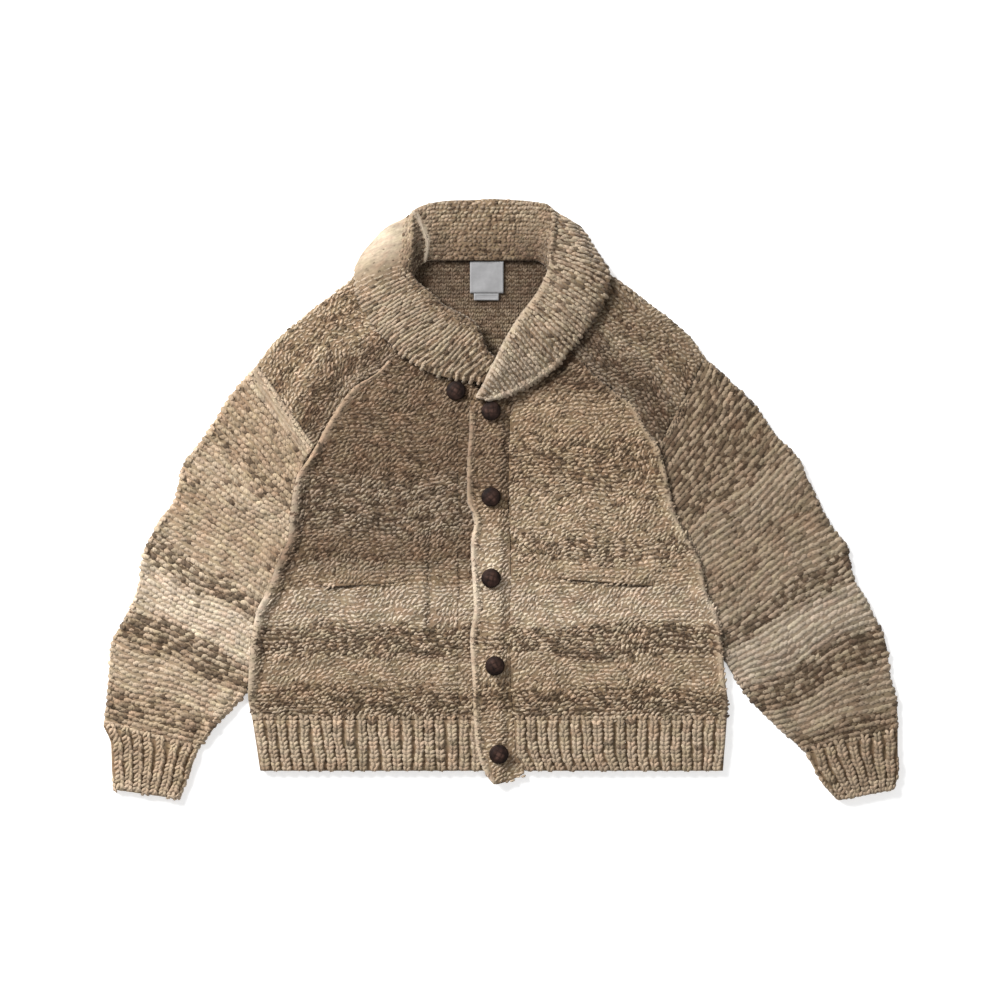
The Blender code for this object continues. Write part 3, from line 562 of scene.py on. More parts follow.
def marled_wool(name, bands, lightness=1.0, wander=9.0):
    """Wool spun from a light and the dark fleece, in bands across the rows. Each band's row gives its
    place, its light fleece and its share of dark. Bands wander by that many mm."""
    made, tree, shader = material(name)
    knit = add(tree, "ShaderNodeAttribute", attribute_name="knit").outputs["Vector"]
    u, v, shade = add(tree, "ShaderNodeSeparateXYZ", {0: knit}).outputs

    def patches(length, height, detail=2.0):
        """Noise over the knitting, in patches of about this length along the rows and height across."""
        place = vectors(tree, "MULTIPLY", knit, (1 / (length * METRES), 1 / (height * METRES), 0))[0]
        return add(tree, "ShaderNodeTexNoise", {"Vector": place, "Scale": 1.0, "Detail": detail}).outputs[0]

    drift = maths(tree, "SUBTRACT", patches(*DRIFT), 0.5)
    placed = maths(tree, "MULTIPLY_ADD", drift, wander * 4 * METRES, v)
    low, high = bands[0][0], bands[-1][0]
    share = add(tree, "ShaderNodeMapRange", {0: placed, 1: low * METRES, 2: high * METRES}).outputs[0]
    stops = [
        ((level - low) / (high - low), (*linear(FLEECES[fleece], lightness), dark))
        for level, fleece, dark in bands
    ]
    light, dark_share = ramp(tree, share, stops)
    paler = maths(tree, "SUBTRACT", shade, 0.6)
    chance = maths(tree, "MULTIPLY_ADD", paler, -0.1, patches(*FLECKS))
    threshold = maths(tree, "MULTIPLY_ADD", dark_share, -0.46, 0.77)
    softer = maths(tree, "SUBTRACT", threshold, FLECK_EDGE)
    in_dark = add(tree, "ShaderNodeMapRange", {0: chance, 1: softer, 2: threshold}).outputs[0]
    fleeces = {0: maths(tree, "MULTIPLY", in_dark, DARKEST), 6: light, 7: (*linear(DARK_FLEECE), 1)}
    marl = add(tree, "ShaderNodeMix", fleeces, data_type="RGBA").outputs[2]
    tinted = vectors(tree, "MULTIPLY", marl, ramp(tree, patches(*TINTS), WARM_TO_COOL)[0])[0]
    depth = ramp(tree, shade, DEPTHS)[0]
    ply = add(tree, "ShaderNodeAttribute", attribute_name="ply").outputs["Vector"]
    stripe = maths(tree, "SINE", vectors(tree, "DOT_PRODUCT", ply, PLY_TWIST)["Value"])
    mottle = 1.0
    for patch, strength in MOTTLES:
        mottle = maths(tree, "MULTIPLY_ADD", maths(tree, "SUBTRACT", patches(*patch), 0.5), strength, mottle)
    lit = vectors(tree, "SCALE", tinted, Scale=maths(tree, "MULTIPLY_ADD", stripe, 0.09, mottle))[0]
    rows = maths(tree, "SINE", maths(tree, "MULTIPLY", v, 2 * math.pi / (PURL_ROW * METRES)))
    columns = maths(tree, "SINE", maths(tree, "MULTIPLY", u, 2 * math.pi / (PURL_WIDTH * METRES)))
    worked = maths(tree, "MULTIPLY", maths(tree, "MULTIPLY_ADD", columns, rows, rows), 1.5)
    hidden = maths(tree, "COMPARE", shade, HIDDEN_FACE, 0.02)
    on_object = add(tree, "ShaderNodeTexCoord").outputs["Object"]
    fibres = add(tree, "ShaderNodeTexNoise", {"Vector": on_object, "Scale": 700.0, "Detail": 5.0}).outputs[0]
    yarn_relief = maths(tree, "MULTIPLY_ADD", stripe, 0.2, fibres)
    knit_relief = maths(tree, "MULTIPLY_ADD", worked, hidden, yarn_relief)
    bump = add(tree, "ShaderNodeBump", {"Height": knit_relief, "Strength": 0.7, "Distance": 0.0008})
    plug(tree, shader, {
        "Base Color": vectors(tree, "MULTIPLY", lit, depth)[0], "Normal": bump.outputs[0], "Roughness": 0.95,
        "Specular IOR Level": 0.12, "Sheen Weight": 0.2, "Sheen Roughness": 0.5,
        "Sheen Tint": (0.95, 0.9, 0.84, 1),
    })
    return made


def sewn_on(piece, node, pieces=()):
    """The piece stands for its node and rides with the cardigan."""
    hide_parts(node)
    for other in (piece, *pieces):
        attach(other, "root")


PURL_WIDTH = 7.3
PURL_ROW = 6.0
KNIT_V = (
    stitch_of(
        "knit_stitch",
        bead(6.6, 3.4, 2.2, (-1.4, 0, -0.4), -58, sides=5), bead(6.6, 3.4, 2.2, (1.4, 0, -0.4), 58, sides=5),
    ),
    5.8, 4.8,
)
# The back shows only inside the neck: its wool is drawn dark, and browner towards the neck seam, as painted
# shade under the collar
back_wool = marled_wool(
    "back_wool",
    [
        (-350, "oatmeal", 0.2), (-100, "fawn", 0.4), (170, "oatmeal", 0.3), (215, "fawn", 0.3),
        (250, "brown", 0.2), (309, "brown", 0.4),
    ],
    lightness=0.47,
)


def on_surface(x, y):
    return np.zeros_like(x)


back_right = runs(
    (NECK_SIDE_RIGHT, 0), (RAGLAN_RIGHT, SLANTED_SEAM),
    ([RAGLAN_RIGHT[-1], *SLEEVE_IN_RIGHT][:-4], SLEEVE_SEAM), (SIDE_RIGHT[-5:], 0),
)
back_left = runs(
    (NECK_SIDE_LEFT, 0), (RAGLAN_LEFT, -SLANTED_SEAM),
    ([RAGLAN_LEFT[-1], *SLEEVE_IN_LEFT][:-3], -SLEEVE_SEAM), (SIDE_LEFT[-5:], 0),
)
upper, lower, _, _ = panel(
    back_right, back_left, spaced(NECK_BACK, HEM_TOP + 0.2, BACK_STEP), on_surface, sink=BACK_SINK
)
shade = np.where(upper[..., 1] > NECK_SHOWN, PIT, HIDDEN_FACE)
back = cloth("back_body_knit", upper, lower, in_the_knitting(upper[..., 0], upper[..., 1], shade), back_wool)
neck_rows = upper[upper[:, 0, 1] > NECK_SHOWN]
back_stitches = stitches(
    "back_body_stitches", neck_rows, neck_rows[..., 0], neck_rows[..., 1], KNIT_V, back_wool, 11,
    shift=0, turn=18, size=0.22, astray=0.14,
)
sewn_on(back, "back_body", [back_stitches])


# Yokes. One strip to each shoulder, folded over it from the front seam to the back, with its rows
# running along the shoulder from the neck to the sleeve. It is knitted apart and sewn in.

FRONT = WALL + PLIES  # underside of the front layer
FOLD = 2 * WALL + PLIES  # height of a flattened tube or fold
ON_FRONT = FOLD + SEAM
FOLD_RADIUS = FOLD / 2
SLOT_RADIUS = PLIES / 2
UNDERSIDE = 1.5  # below this height a point is on the underside of a tube or fold
YOKE_LENGTH = 200.0
YOKE_COLUMNS = 28
OVER_SEAM = 0.6  # how far the first stitches reach over the seam, in spaces of the grid
SHOULDER_RIGHT = [
    (-115, 303), (-148, 300), (-181, 292), (-200, 275), (-235, 250), (-264, 225), (-291, 202), (-312, 175),
]
SHOULDER_LEFT = [
    (64, 303), (102, 299), (136, 291), (164, 273), (191, 252), (218, 232), (246, 206), (262, 183),
]
PURL = (
    stitch_of(
        "purl_stitch", bead(8.4, 4.0, 3.0, (0, 1.4, -0.5), 22, -0.05, sides=5),
        bead(7.2, 3.6, 2.8, (3.6, -1.6, -0.7), 32, sides=4, rings=3),
    ),
    PURL_WIDTH, PURL_ROW,
)

# Large soft folds of the upper layers: both ends of each ridge, its height and its width
FOLDS = [
    ((-250, 40), (-170, -20), 2.0, 16),
    ((215, 35), (150, -30), 2.0, 16),
    ((-300, -250), (-80, -252), 2.5, 20),
    ((50, -252), (270, -250), 2.5, 20),
    ((-395, 20), (-300, -10), 2.5, 18),
    ((-470, -150), (-350, -200), 2.5, 18),
    ((375, 20), (285, -20), 2.5, 18),
    ((455, -150), (350, -190), 2.5, 18),
    ((-495, -262), (-400, -290), 2.0, 12),
    ((490, -270), (400, -292), 2.0, 12),
    ((-345, -238), (-378, -312), 2.5, 7),
    ((-362, -232), (-394, -312), -1.6, 5),
    ((335, -240), (372, -305), 2.2, 8),
    ((352, -235), (388, -308), -1.4, 5),
]


def away_from(points, x, y):
    """How far each (x, y) lies from a line of straight runs."""
    points = np.array(points, float)
    nearest = np.full(np.shape(x), np.inf)
    for start, end in zip(points[:-1], points[1:]):
        run = end - start
        t = np.clip(((x - start[0]) * run[0] + (y - start[1]) * run[1]) / (run @ run), 0, 1)
        nearest = np.minimum(nearest, np.hypot(x - start[0] - t * run[0], y - start[1] - t * run[1]))
    return nearest


def ridges(listed, x, y):
    """The rise of soft ridges, and the fall of troughs where a height is negative."""
    rise = np.zeros(np.shape(x))
    for start, end, height, width in listed:
        rise += height * near(away_from([start, end], x, y), 0, width)
    return rise


def along(points):
    """How far along its line each point lies, from 0 to 1."""
    run = run_along(np.array(points, float)[:, :2])
    return run / run[-1]


def line(points, where):
    return curve(along(points), points, where)


def arc(centre, height, radius, start, end, steps=10):
    angles = np.radians(np.linspace(start, end, steps))
    return [(centre + radius * math.cos(a), height + radius * math.sin(a)) for a in angles]


def flattened(starts, ends, across, tube):
    """The outer and the inner face of cloth that lies in two layers, through sections that run from
    a start to an end each: a tube folded at both, or a strip folded only at its ends. Each point's
    distance along its section, and each section's distance along the piece, come with them."""
    outer, inner, distances = [], [], []
    crown = FOLD - SINK
    faces = ((outer, crown / 2, crown / 2, crown, 0.0), (inner, SLOT_RADIUS, FOLD_RADIUS, FRONT, WALL))
    for start, end in zip(starts, ends):
        width = math.dist(start, end)
        direction = (end - start) / width
        begin, finish = (FOLD_RADIUS if tube else 0), width - FOLD_RADIUS
        half = (begin + finish) / 2
        for face, radius, level, top_z, under_z in faces:
            profile = []
            if tube:
                profile += [(half + (begin - half) * share, under_z) for share in (0, 0.25, 0.5, 0.75)]
                profile += arc(begin, level, radius, -90, -270)[:-1]
            profile += [(begin + (finish - begin) * share, top_z) for share in across]
            profile += arc(finish, level, radius, 90, -90)[1:]
            last = half if tube else 0
            profile += [(finish + (last - finish) * share, under_z) for share in (0.25, 0.5, 0.75)]
            if not tube:
                profile += [(0, under_z)]
            profile = np.array(profile)
            face.append(np.column_stack([start + profile[:, :1] * direction, profile[:, 1]]))
        run = run_along(outer[-1])
        distances.append(run - (run[-1] / 2 if tube else 0))
    down = run_along((np.array(starts) + np.array(ends)) / 2)
    down = np.repeat(down[:, None], len(distances[0]), axis=1)
    return np.array(outer), np.array(inner), np.array(distances), down


def raised(outer, inner, rise):
    """Raises both faces of the upper layer by rise, which fades to nothing at the folds."""
    height = np.clip((outer[..., 2] - UNDERSIDE) / (FOLD - SINK - UNDERSIDE), 0, 1) ** 2
    for grid in (outer, inner):
        grid[..., 2] += height * rise


YOKE_BANDS = [
    (0, "grey", 0.3), (30, "brown", 0.5), (60, "oatmeal", 0.2), (90, "fawn", 0.4), (125, "oatmeal", 0.1),
]
# The left yoke's wool is drawn darker than the right's: painted shade away from the light and under the left
# lapel
YOKES = {
    "right": (SHOULDER_RIGHT, RAGLAN_RIGHT, 21, 0.83, -22),
    "left": (SHOULDER_LEFT, RAGLAN_LEFT, 22, 0.58, 0),
}
for side, (shoulder, raglan, seed, lightness, lean) in YOKES.items():
    yoke_wool = marled_wool(f"yoke_wool_{side}", YOKE_BANDS, lightness)
    levels = spaced(0, YOKE_LENGTH, STEP) / YOKE_LENGTH
    outer, inner, from_seam, from_neck = flattened(
        line(raglan, levels), line(shoulder, levels), np.linspace(0, 1, YOKE_COLUMNS), False
    )
    x, y = outer[..., 0], outer[..., 1]
    rise = ridges(FOLDS, x, y) + 0.8 * uneven(x, y, 40, 3)
    raised(outer, inner, rise - 0.6 * edge_drop(from_neck.max() - from_neck))
    outer[..., 2] -= 0.2 * edge_drop(from_seam)
    across_rows = from_seam + 3 * uneven(x, y, 60, seed)
    places = in_the_knitting(from_neck, across_rows)
    yoke = cloth(f"shoulder_yoke_{side}_knit", outer, inner, places, yoke_wool)
    over_seam = outer.copy()
    over_seam[:, 0, :2] += OVER_SEAM * (outer[:, 0, :2] - outer[:, 1, :2])
    yoke_stitches = stitches(
        f"shoulder_yoke_{side}_stitches", over_seam, from_neck, across_rows, PURL, yoke_wool, seed, turn=30,
        lean=lean, slant=26,
    )
    sewn_on(yoke, f"shoulder_yoke_{side}", [yoke_stitches])


# Sleeves. Two tapered tubes, knitted flat from the shoulder down, sewn into tubes and laid flat, so
# that their rows run straight across from edge to edge. Their rows are thick ridges of purl.

SLEEVE_LENGTH = 470.0
SLEEVE_OUT_RIGHT = [
    (-345, 136), (-378, 84), (-409, 41), (-418, 1), (-436, -24), (-459, -72), (-465, -109),
    (-486, -159), (-500, -186), (-502, -215), (-505, -259), (-510, -289),
]
SLEEVE_OUT_LEFT = [
    (291, 156), (324, 125), (353, 84), (380, 56), (397, 22), (426, -36), (445, -60), (451, -93),
    (473, -136), (496, -189), (500, -225), (509, -261), (510, -297),
]
SLEEVES = {
    "right": ([SHOULDER_RIGHT[-1], *SLEEVE_OUT_RIGHT], [RAGLAN_RIGHT[-1], *SLEEVE_IN_RIGHT]),
    "left": ([SHOULDER_LEFT[-1], *SLEEVE_OUT_LEFT], [RAGLAN_LEFT[-1], *SLEEVE_IN_LEFT]),
}
SLEEVE_COLUMNS = 34
PLAIN_TOP = {"right": 22.0, "left": 0.0}  # a smooth band of jersey at the top of the sleeve
TOP_LINES = 5.5  # spacing of its fine rows
TOP_LINE_HEIGHT = 1.1
GROOVE_WIDTH = 1.8  # the groove between that band and the ridges
GROOVE_DEPTH = 0.8
TOP_SINK = 0.55  # how far the ridges sink under the band
ON_TABLE = 1.0  # lower than this a face lies on the table
# Painted shade: the sleeve's ground between its ridges is drawn darker, though less so than the front's pits
BETWEEN_RIDGES = 0.16  # shade of the sleeve's ground
BANDS_LOWER = {"right": 0.0, "left": 28.0}  # how much further down the sleeve its bands lie
RIDGE = (
    stitch_of(
        "ridge_stitch", bead(12.0, 7.2, 2.9, (0, 0.9, -0.55), 7, -0.012, sides=5, droop=0.01),
        bead(5.6, 3.4, 2.6, (2.6, -3.0, -1.0), 40, sides=4, rings=3),
    ),
    6.7, 7.7,
)
SLEEVE_TOPS = {
    "right": [
        (-30, "fawn", 0.2), (0, "oatmeal", 0.05), (22, "oatmeal", 0.1), (26, "fawn", 0.3), (60, "fawn", 0.2),
    ],
    "left": [(-30, "fawn", 0.4), (26, "fawn", 0.5), (60, "fawn", 0.45)],
}
SLEEVE_BANDS = [
    (90, "fawn", 0.4), (125, "oatmeal", 0.2), (175, "fawn", 0.25), (225, "oatmeal", 0.15),
    (240, "oatmeal", 0.48), (264, "oatmeal", 0.45), (275, "cream", 0.05), (318, "cream", 0.05),
    (330, "oatmeal", 0.52), (360, "fawn", 0.48), (372, "oatmeal", 0.12), (408, "oatmeal", 0.15),
    (422, "fawn", 0.45), (454, "fawn", 0.4), (470, "oatmeal", 0.2),
]
# The left sleeve's wool is drawn darker than the right's: painted shade on the side away from the light
for side, seed, lightness in (("right", 31, 0.885), ("left", 32, 0.565)):
    sleeve_wool = marled_wool(f"sleeve_wool_{side}", SLEEVE_TOPS[side] + SLEEVE_BANDS, lightness, wander=6)
    outside, inside = SLEEVES[side]
    levels = spaced(0, SLEEVE_LENGTH, STEP, (PLAIN_TOP[side] / 2, PLAIN_TOP[side])) / SLEEVE_LENGTH
    outer, inner, across, down = flattened(
        line(inside, levels), line(outside, levels), np.linspace(0, 1, SLEEVE_COLUMNS), True
    )
    x, y = outer[..., 0], outer[..., 1]
    rise = ridges(FOLDS, x, y) + 1.0 * uneven(x, y, 45, seed) + 0.5 * uneven(x, y, 20, seed + 1)
    groove = near(down, PLAIN_TOP[side], GROOVE_WIDTH)
    plain = smooth_step((PLAIN_TOP[side] - down) / 3 + 0.5) * (1 - groove)
    lines = plain * np.sin(math.pi * down / TOP_LINES) ** 2
    rise += TOP_LINE_HEIGHT * lines - GROOVE_DEPTH * groove
    raised(outer, inner, rise - 0.5 * edge_drop(down) - 0.3 * edge_drop(down.max() - down))
    sunk = outer - [0, 0, TOP_SINK] * plain[..., None]
    down = down * SLEEVE_LENGTH / down.max() - BANDS_LOWER[side] + 3 * uneven(x, y, 70, seed)
    # Painted shade: the ground between the ridges is drawn darker, the crests of the top band's fine rows
    # paler
    shade = np.where(outer[..., 2] > ON_TABLE, BETWEEN_RIDGES + 0.4 * lines, HIDDEN_FACE)
    places = in_the_knitting(across, down, shade)
    sleeve = cloth(f"sleeve_{side}_knit", outer, inner, places, sleeve_wool, ring=True)
    sleeve_stitches = stitches(
        f"sleeve_{side}_stitches", sunk, across, down, RIDGE, sleeve_wool, seed, turn=8, size=0.17,
        astray=0.13, slant=6, shades=0.22, steepest=0.3,
    )
    sewn_on(sleeve, f"sleeve_{side}", [sleeve_stitches])


# Cuffs. A band of deep rib at each wrist, every rib one column of large V stitches, knitted on from the
# sleeve's last row and closed with its seam.

RIB_HEIGHT = 3.2
RIB_PITCH = 14.6
RIB_STEPS = 8
FIRST_STITCH_REACH = 3.5
CUFF_RIBS = 7
CUFF_LENGTH = 62.0
CUFFS = {
    "right": ([(-510, -289), (-500, -314), (-499, -346), (-496, -371)],
              [(-388, -320), (-396, -340), (-403, -364), (-412, -383)]),
    "left": ([(510, -297), (510, -320), (511, -348), (505, -371)],
             [(390, -323), (401, -344), (412, -362), (433, -385)]),
}
RIB_V = (
    stitch_of(
        "rib_stitch", bead(9.0, 5.0, 3.8, (-2.7, 0, -0.5), -57, 0.02),
        bead(9.0, 5.0, 3.8, (2.7, 0, -0.5), 57, -0.02),
    ),
    RIB_PITCH, 5.4,
)
RIB_BANDS = [
    (-80, "fawn", 0.1), (-30, "oatmeal", 0.1), (10, "fawn", 0.15), (40, "fawn", 0.1), (80, "oatmeal", 0.1),
]


def rib_rise(u):
    """Rounded ribs with a narrow deep gap between them."""
    return RIB_HEIGHT * np.abs(np.sin(math.pi * u / RIB_PITCH))


# Painted shade: the wool is drawn darkest in the gap between ribs and palest on their crests
def rib_painted_shade(u):
    return 0.5 * np.sin(math.pi * u / RIB_PITCH) ** 2


def rib_stitches(name, guide, u, v, wool, seed):
    """Ribs worked from the last row of the cloth above, which their first stitches lie over."""
    guide, v = guide.copy(), v.copy()
    above = (guide[0] - guide[4]) * [1, 1, 0]
    reach = FIRST_STITCH_REACH / np.linalg.norm(above, axis=1).mean()
    guide[0] += reach * above
    v[0] += reach * (v[0] - v[4])
    return stitches(
        name, guide, u, v, RIB_V, wool, seed, shift=0, turn=13, size=0.2, astray=0.07, steepest=0.1
    )


for side, seed, lightness in (("right", 41, 0.86), ("left", 42, 0.7)):
    cuff_wool = marled_wool(f"cuff_wool_{side}", RIB_BANDS, lightness)
    outside, inside = CUFFS[side]
    levels = spaced(0, CUFF_LENGTH, STEP) / CUFF_LENGTH
    outer, inner, across, down = flattened(
        line(inside, levels), line(outside, levels), np.linspace(0, 1, RIB_STEPS * CUFF_RIBS + 1), True
    )
    width = np.linalg.norm(line(inside, levels) - line(outside, levels), axis=1)[:, None] - FOLD
    ribs = across / width * CUFF_RIBS * RIB_PITCH + 1.2 * uneven(outer[..., 0], outer[..., 1], 28, seed)
    on_top = outer[..., 2] > FOLD_RADIUS
    rise = np.where(on_top, rib_rise(ribs), 0)
    raised(outer, inner, rise - edge_drop(down.max() - down) - 0.4 * edge_drop(down))
    inner[..., 2] -= np.where(inner[..., 2] > FOLD_RADIUS, rise, 0) * 0.8
    shade = np.where(outer[..., 2] > ON_TABLE, rib_painted_shade(ribs), HIDDEN_FACE)
    places = in_the_knitting(ribs, down, shade)
    cuff = cloth(f"cuff_{side}_knit", outer, inner, places, cuff_wool, ring=True)
    cuff_stitches = rib_stitches(f"cuff_{side}_stitches", outer, ribs, down, cuff_wool, seed)
    sewn_on(cuff, f"cuff_{side}", [cuff_stitches])


# Hem ribs. The same deep rib along the foot of the back and of each front, worked down from the last
# row of the body. Each front's lies on the back's.

CLIMB = 13.0  # over what length the fronts climb onto the sleeves
CLIMB_START = 15.0  # how far from the sleeve the climb begins
UNDER_BAND_SEAM = [
    (-88, 165), (-80, 150), (-74, 140), (-66, 128), (-59, 115), (-55, 100), (-54, 60), (-54, -347),
]
BUTTON_BAND_SEAM = [
    (16, 138), (11, 87), (10, 0), (13, -77), (12, -154), (13, -230), (17, -287), (20, -323),
    (31, -349), (24, -354), (10, -360), (-4, -364),
]
hem_wool = marled_wool("hem_wool", RIB_BANDS, 0.75)


def front_layer(x, y):
    """The underside of the fronts: on the back, and over the sleeves' inner edges at the sides."""
    into_sleeve = np.full(np.shape(x), -1e3)
    for edge, side in ((SLEEVES["right"][1], -1), (SLEEVES["left"][1], 1)):
        distance = away_from(edge, x, y)
        inside = (x - x_at(edge, y.ravel()).reshape(np.shape(x))) * side > 0
        inside &= (y < edge[0][1]) & (y > edge[-1][1])
        into_sleeve = np.maximum(into_sleeve, np.where(inside, distance, -distance))
    climb = smooth_step((into_sleeve + CLIMB_START) / CLIMB)
    return FRONT + (ON_FRONT - FRONT) * climb + (1 - climb) * ridges(FOLDS, x, y)


side_right, side_left = runs((SIDE_RIGHT, 0)), runs((SIDE_LEFT, 0))
rows = spaced(HEM_TOP - 0.2, HEM_END, STEP)
upper, lower, _, _ = panel(side_right, side_left, rows, on_surface, rounded=(1, 1, 0, 1))
places = in_the_knitting(upper[..., 0], upper[..., 1] - HEM_TOP, HIDDEN_FACE)
sewn_on(cloth("back_hem_rib_knit", upper, lower, places, hem_wool), "back_hem_rib")
for side, left, right, rounded, seed in (
    ("right", side_right, runs((UNDER_BAND_SEAM, -SLANTED_SEAM)), (1, 0, 0, 1), 52),
    ("left", runs((BUTTON_BAND_SEAM, SLANTED_SEAM)), side_left, (0.5, 1, 0, 1), 53),
):
    ribs = round(float((right(rows[:1]) - left(rows[:1]))[0]) / RIB_PITCH)
    upper, lower, from_left, from_right = panel(
        left, right, rows, front_layer, columns=RIB_STEPS * ribs, rounded=rounded
    )
    x, y = upper[..., 0].copy(), upper[..., 1]
    v = y - HEM_TOP
    u = from_left / (from_left + from_right) * ribs * RIB_PITCH + 1.3 * uneven(x, y, 30, seed)
    upper[..., 2] += rib_rise(u) * smooth_step(0.3 - v / 6)
    places = in_the_knitting(u, v, rib_painted_shade(u))
    rib = cloth(f"hem_rib_front_{side}_knit", upper, lower, places, hem_wool)
    made = rib_stitches(f"hem_rib_front_{side}_stitches", upper, u, v, hem_wool, seed)
    sewn_on(rib, f"hem_rib_front_{side}", [made])


# Fronts. Two panels of reverse jersey, purl side out, in bands of marled wool that run across the body,
# with a smooth rolled selvage down the slanted upper edge and the side. Each has a slit pocket.

ROLL_RISE = 3.2  # how far in from a rolled edge the roll is at its highest
ROLL_FADE = 14.0  # over what length it fades out under the collar
ROLL_TOP_LEVEL = {"front": 190.0, "band": 118.0}  # where it has faded out
SLEEVE_MEETS = 5.0  # above this level the slanted edge stands level with the yoke it is sewn to
SELVAGE_LEVELS = (-60, 60)  # between these the selvage turns paler than its band, going up
SELVAGE_SHADES = (0.8, 1.0)
SELVAGE_SINK = 0.9  # how far the stitches sink under the selvage
BAND_SELVAGE_SINK = 1.0
NECKLINE_RIGHT = [(-115, 206), (-105, 184), (-89, 165)]
NECKLINE_LEFT = [(74, 200), (64, 172), (45, 155), (18, 138)]
POCKETS = {"right": [(-228, -111), (-137, -107)], "left": [(78, -101), (195, -110)]}
POCKET_LEVELS = (-101, -106, -111)
SLIT_WIDTH = 2.4
SLITS = {  # places across each slit, and its depth at them
    "right": ((-228, -200, -178, -137), (5.0, 4.6, 0.9, 0.4)),
    "left": ((78, 95, 120, 145, 165, 182, 195), (3.4, 2.8, 1.6, 2.8, 4.6, 4.6, 1.0)),
}
CHESTS = {
    "right": [
        (-106, "fawn", 0.15), (-88, "grey", 0.25), (-76, "brown", 0.32), (-52, "brown", 0.28),
        (-38, "grey", 0.42), (20, "grey", 0.4), (38, "brown", 0.35), (72, "brown", 0.3),
        (88, "brown", 0.3), (210, "brown", 0.35),
    ],
    "left": [
        (-106, "oatmeal", 0.12), (-84, "oatmeal", 0.15), (-72, "oatmeal", 0.42), (-52, "oatmeal", 0.4),
        (-38, "oatmeal", 0.15), (-5, "oatmeal", 0.22), (30, "fawn", 0.42), (72, "fawn", 0.4),
        # From 125 up, beside the left lapel, the wool turns brown: partly a band of the marl, partly the
        # lapel's painted shadow
        (88, "fawn", 0.15), (125, "fawn", 0.2), (150, "brown", 0.45), (210, "brown", 0.6),
    ],
}
BAND_BANDS = [
    (-364, "oatmeal", 0.1), (-278, "oatmeal", 0.15), (-262, "fawn", 0.48), (-240, "fawn", 0.4),
    (-226, "oatmeal", 0.05), (-200, "oatmeal", 0.05), (-187, "oatmeal", 0.38), (-175, "oatmeal", 0.34),
    (-164, "oatmeal", 0.08), (-132, "cream", 0.05), (-90, "cream", 0.05), (-30, "oatmeal", 0.1),
    (-8, "fawn", 0.25), (10, "brown", 0.3), (138, "brown", 0.3),
]
BODY_BANDS = [
    (-364, "oatmeal", 0.1), (-290, "oatmeal", 0.15), (-276, "oatmeal", 0.48), (-246, "fawn", 0.42),
    (-230, "oatmeal", 0.14), (-208, "oatmeal", 0.12), (-199, "oatmeal", 0.48), (-164, "oatmeal", 0.46),
    (-153, "cream", 0.05), (-118, "cream", 0.05),
]
front_wools = {
    side: marled_wool(f"front_wool_{side}", BODY_BANDS + CHESTS[side], lightness)
    for side, lightness in (("right", 0.73), ("left", 0.8))
}

band_wool = marled_wool("band_wool", BAND_BANDS, 0.85)

# Creases of the body that are too fine for its solids
CREASES = [
    ((-89, -40), (-90, -180), -1.8, 4),
    ((-100, -40), (-101, -180), 1.0, 5),
    ((44, -20), (48, -150), -1.2, 4),
    ((-225, -135), (-120, -160), 1.2, 9),
    ((60, -165), (230, -150), 1.2, 9),
    ((35, 130), (110, 205), -2.2, 8),
    ((-110, 160), (-60, 143), -1.5, 6),
]


def rolled_edge(upper, distance, height, width, below):
    """Rolls a selvage outward below a level, and gives how plain the cloth is from there inward."""
    up = np.sin(np.clip(distance / ROLL_RISE, 0, 1) * math.pi / 2)
    down = 0.5 + 0.5 * np.cos(np.clip((distance - ROLL_RISE) / (width - ROLL_RISE), 0, 1) * math.pi)
    shown = smooth_step((below - upper[..., 1]) / ROLL_FADE)
    upper[..., 2] += height * up * down * shown
    return down * shown


def front(side, left, right, rows, rounded, roll, rim, seed):
    upper, lower, from_left, from_right = panel(left, right, rows, front_layer, rounded=rounded)
    x, y = upper[..., 0].copy(), upper[..., 1].copy()
    from_edge = from_left if side == "right" else from_right
    upper[..., 2] += 0.5 * edge_drop(from_edge) * smooth_step((y - SLEEVE_MEETS) / 20)
    plain = rolled_edge(upper, from_edge, *roll, ROLL_TOP_LEVEL["front"])
    depth = np.interp(x, *SLITS[side]) * near(away_from(POCKETS[side], x, y), 0, SLIT_WIDTH)
    upper[..., 2] += ridges(CREASES, x, y) + 0.9 * uneven(x, y, 50, seed) - depth
    upper[..., 2] += 0.5 * uneven(x, y, 18, seed + 1) * (1 - plain) + 0.3 * uneven(x, y, 6, seed + 2) * plain
    v = y + 3.5 * uneven(x, y, 80, seed) + 1.2 * uneven(x, y, 25, seed + 1)
    shade = rim * plain * np.interp(y, SELVAGE_LEVELS, SELVAGE_SHADES)
    knit = cloth(f"front_{side}_knit", upper, lower, in_the_knitting(x, v, shade), front_wools[side])
    sunk = upper - [0, 0, SELVAGE_SINK] * plain[..., None]
    made = stitches(f"front_{side}_stitches", sunk, x, v, PURL, front_wools[side], seed, size=0.26, slant=26)
    sewn_on(knit, f"front_{side}", [made])


front(
    "right", runs((RAGLAN_RIGHT, SLANTED_SEAM), (SIDE_RIGHT, 0)),
    runs((NECKLINE_RIGHT, 0), (UNDER_BAND_SEAM, -SLANTED_SEAM)),
    spaced(204, HEM_TOP + 0.2, STEP, POCKET_LEVELS), (0.3, 0.2, 0.5, 0), (1.4, 14), 1, 61,
)
front(
    "left", runs((NECKLINE_LEFT, 0), (BUTTON_BAND_SEAM, SLANTED_SEAM)),
    runs((RAGLAN_LEFT, -SLANTED_SEAM), (SIDE_LEFT, 0)),
    spaced(198, HEM_TOP + 0.2, STEP, POCKET_LEVELS), (0.15, 0.8, 0.5, 0), (1.2, 10), 0.55, 64,
)


# Front bands. The right front's under band and the left front's button band over it, both plain purl
# rows, the under band ribbed at the hem. The button band has a rolled light selvage down its free
# edge and ends in a small tongue.

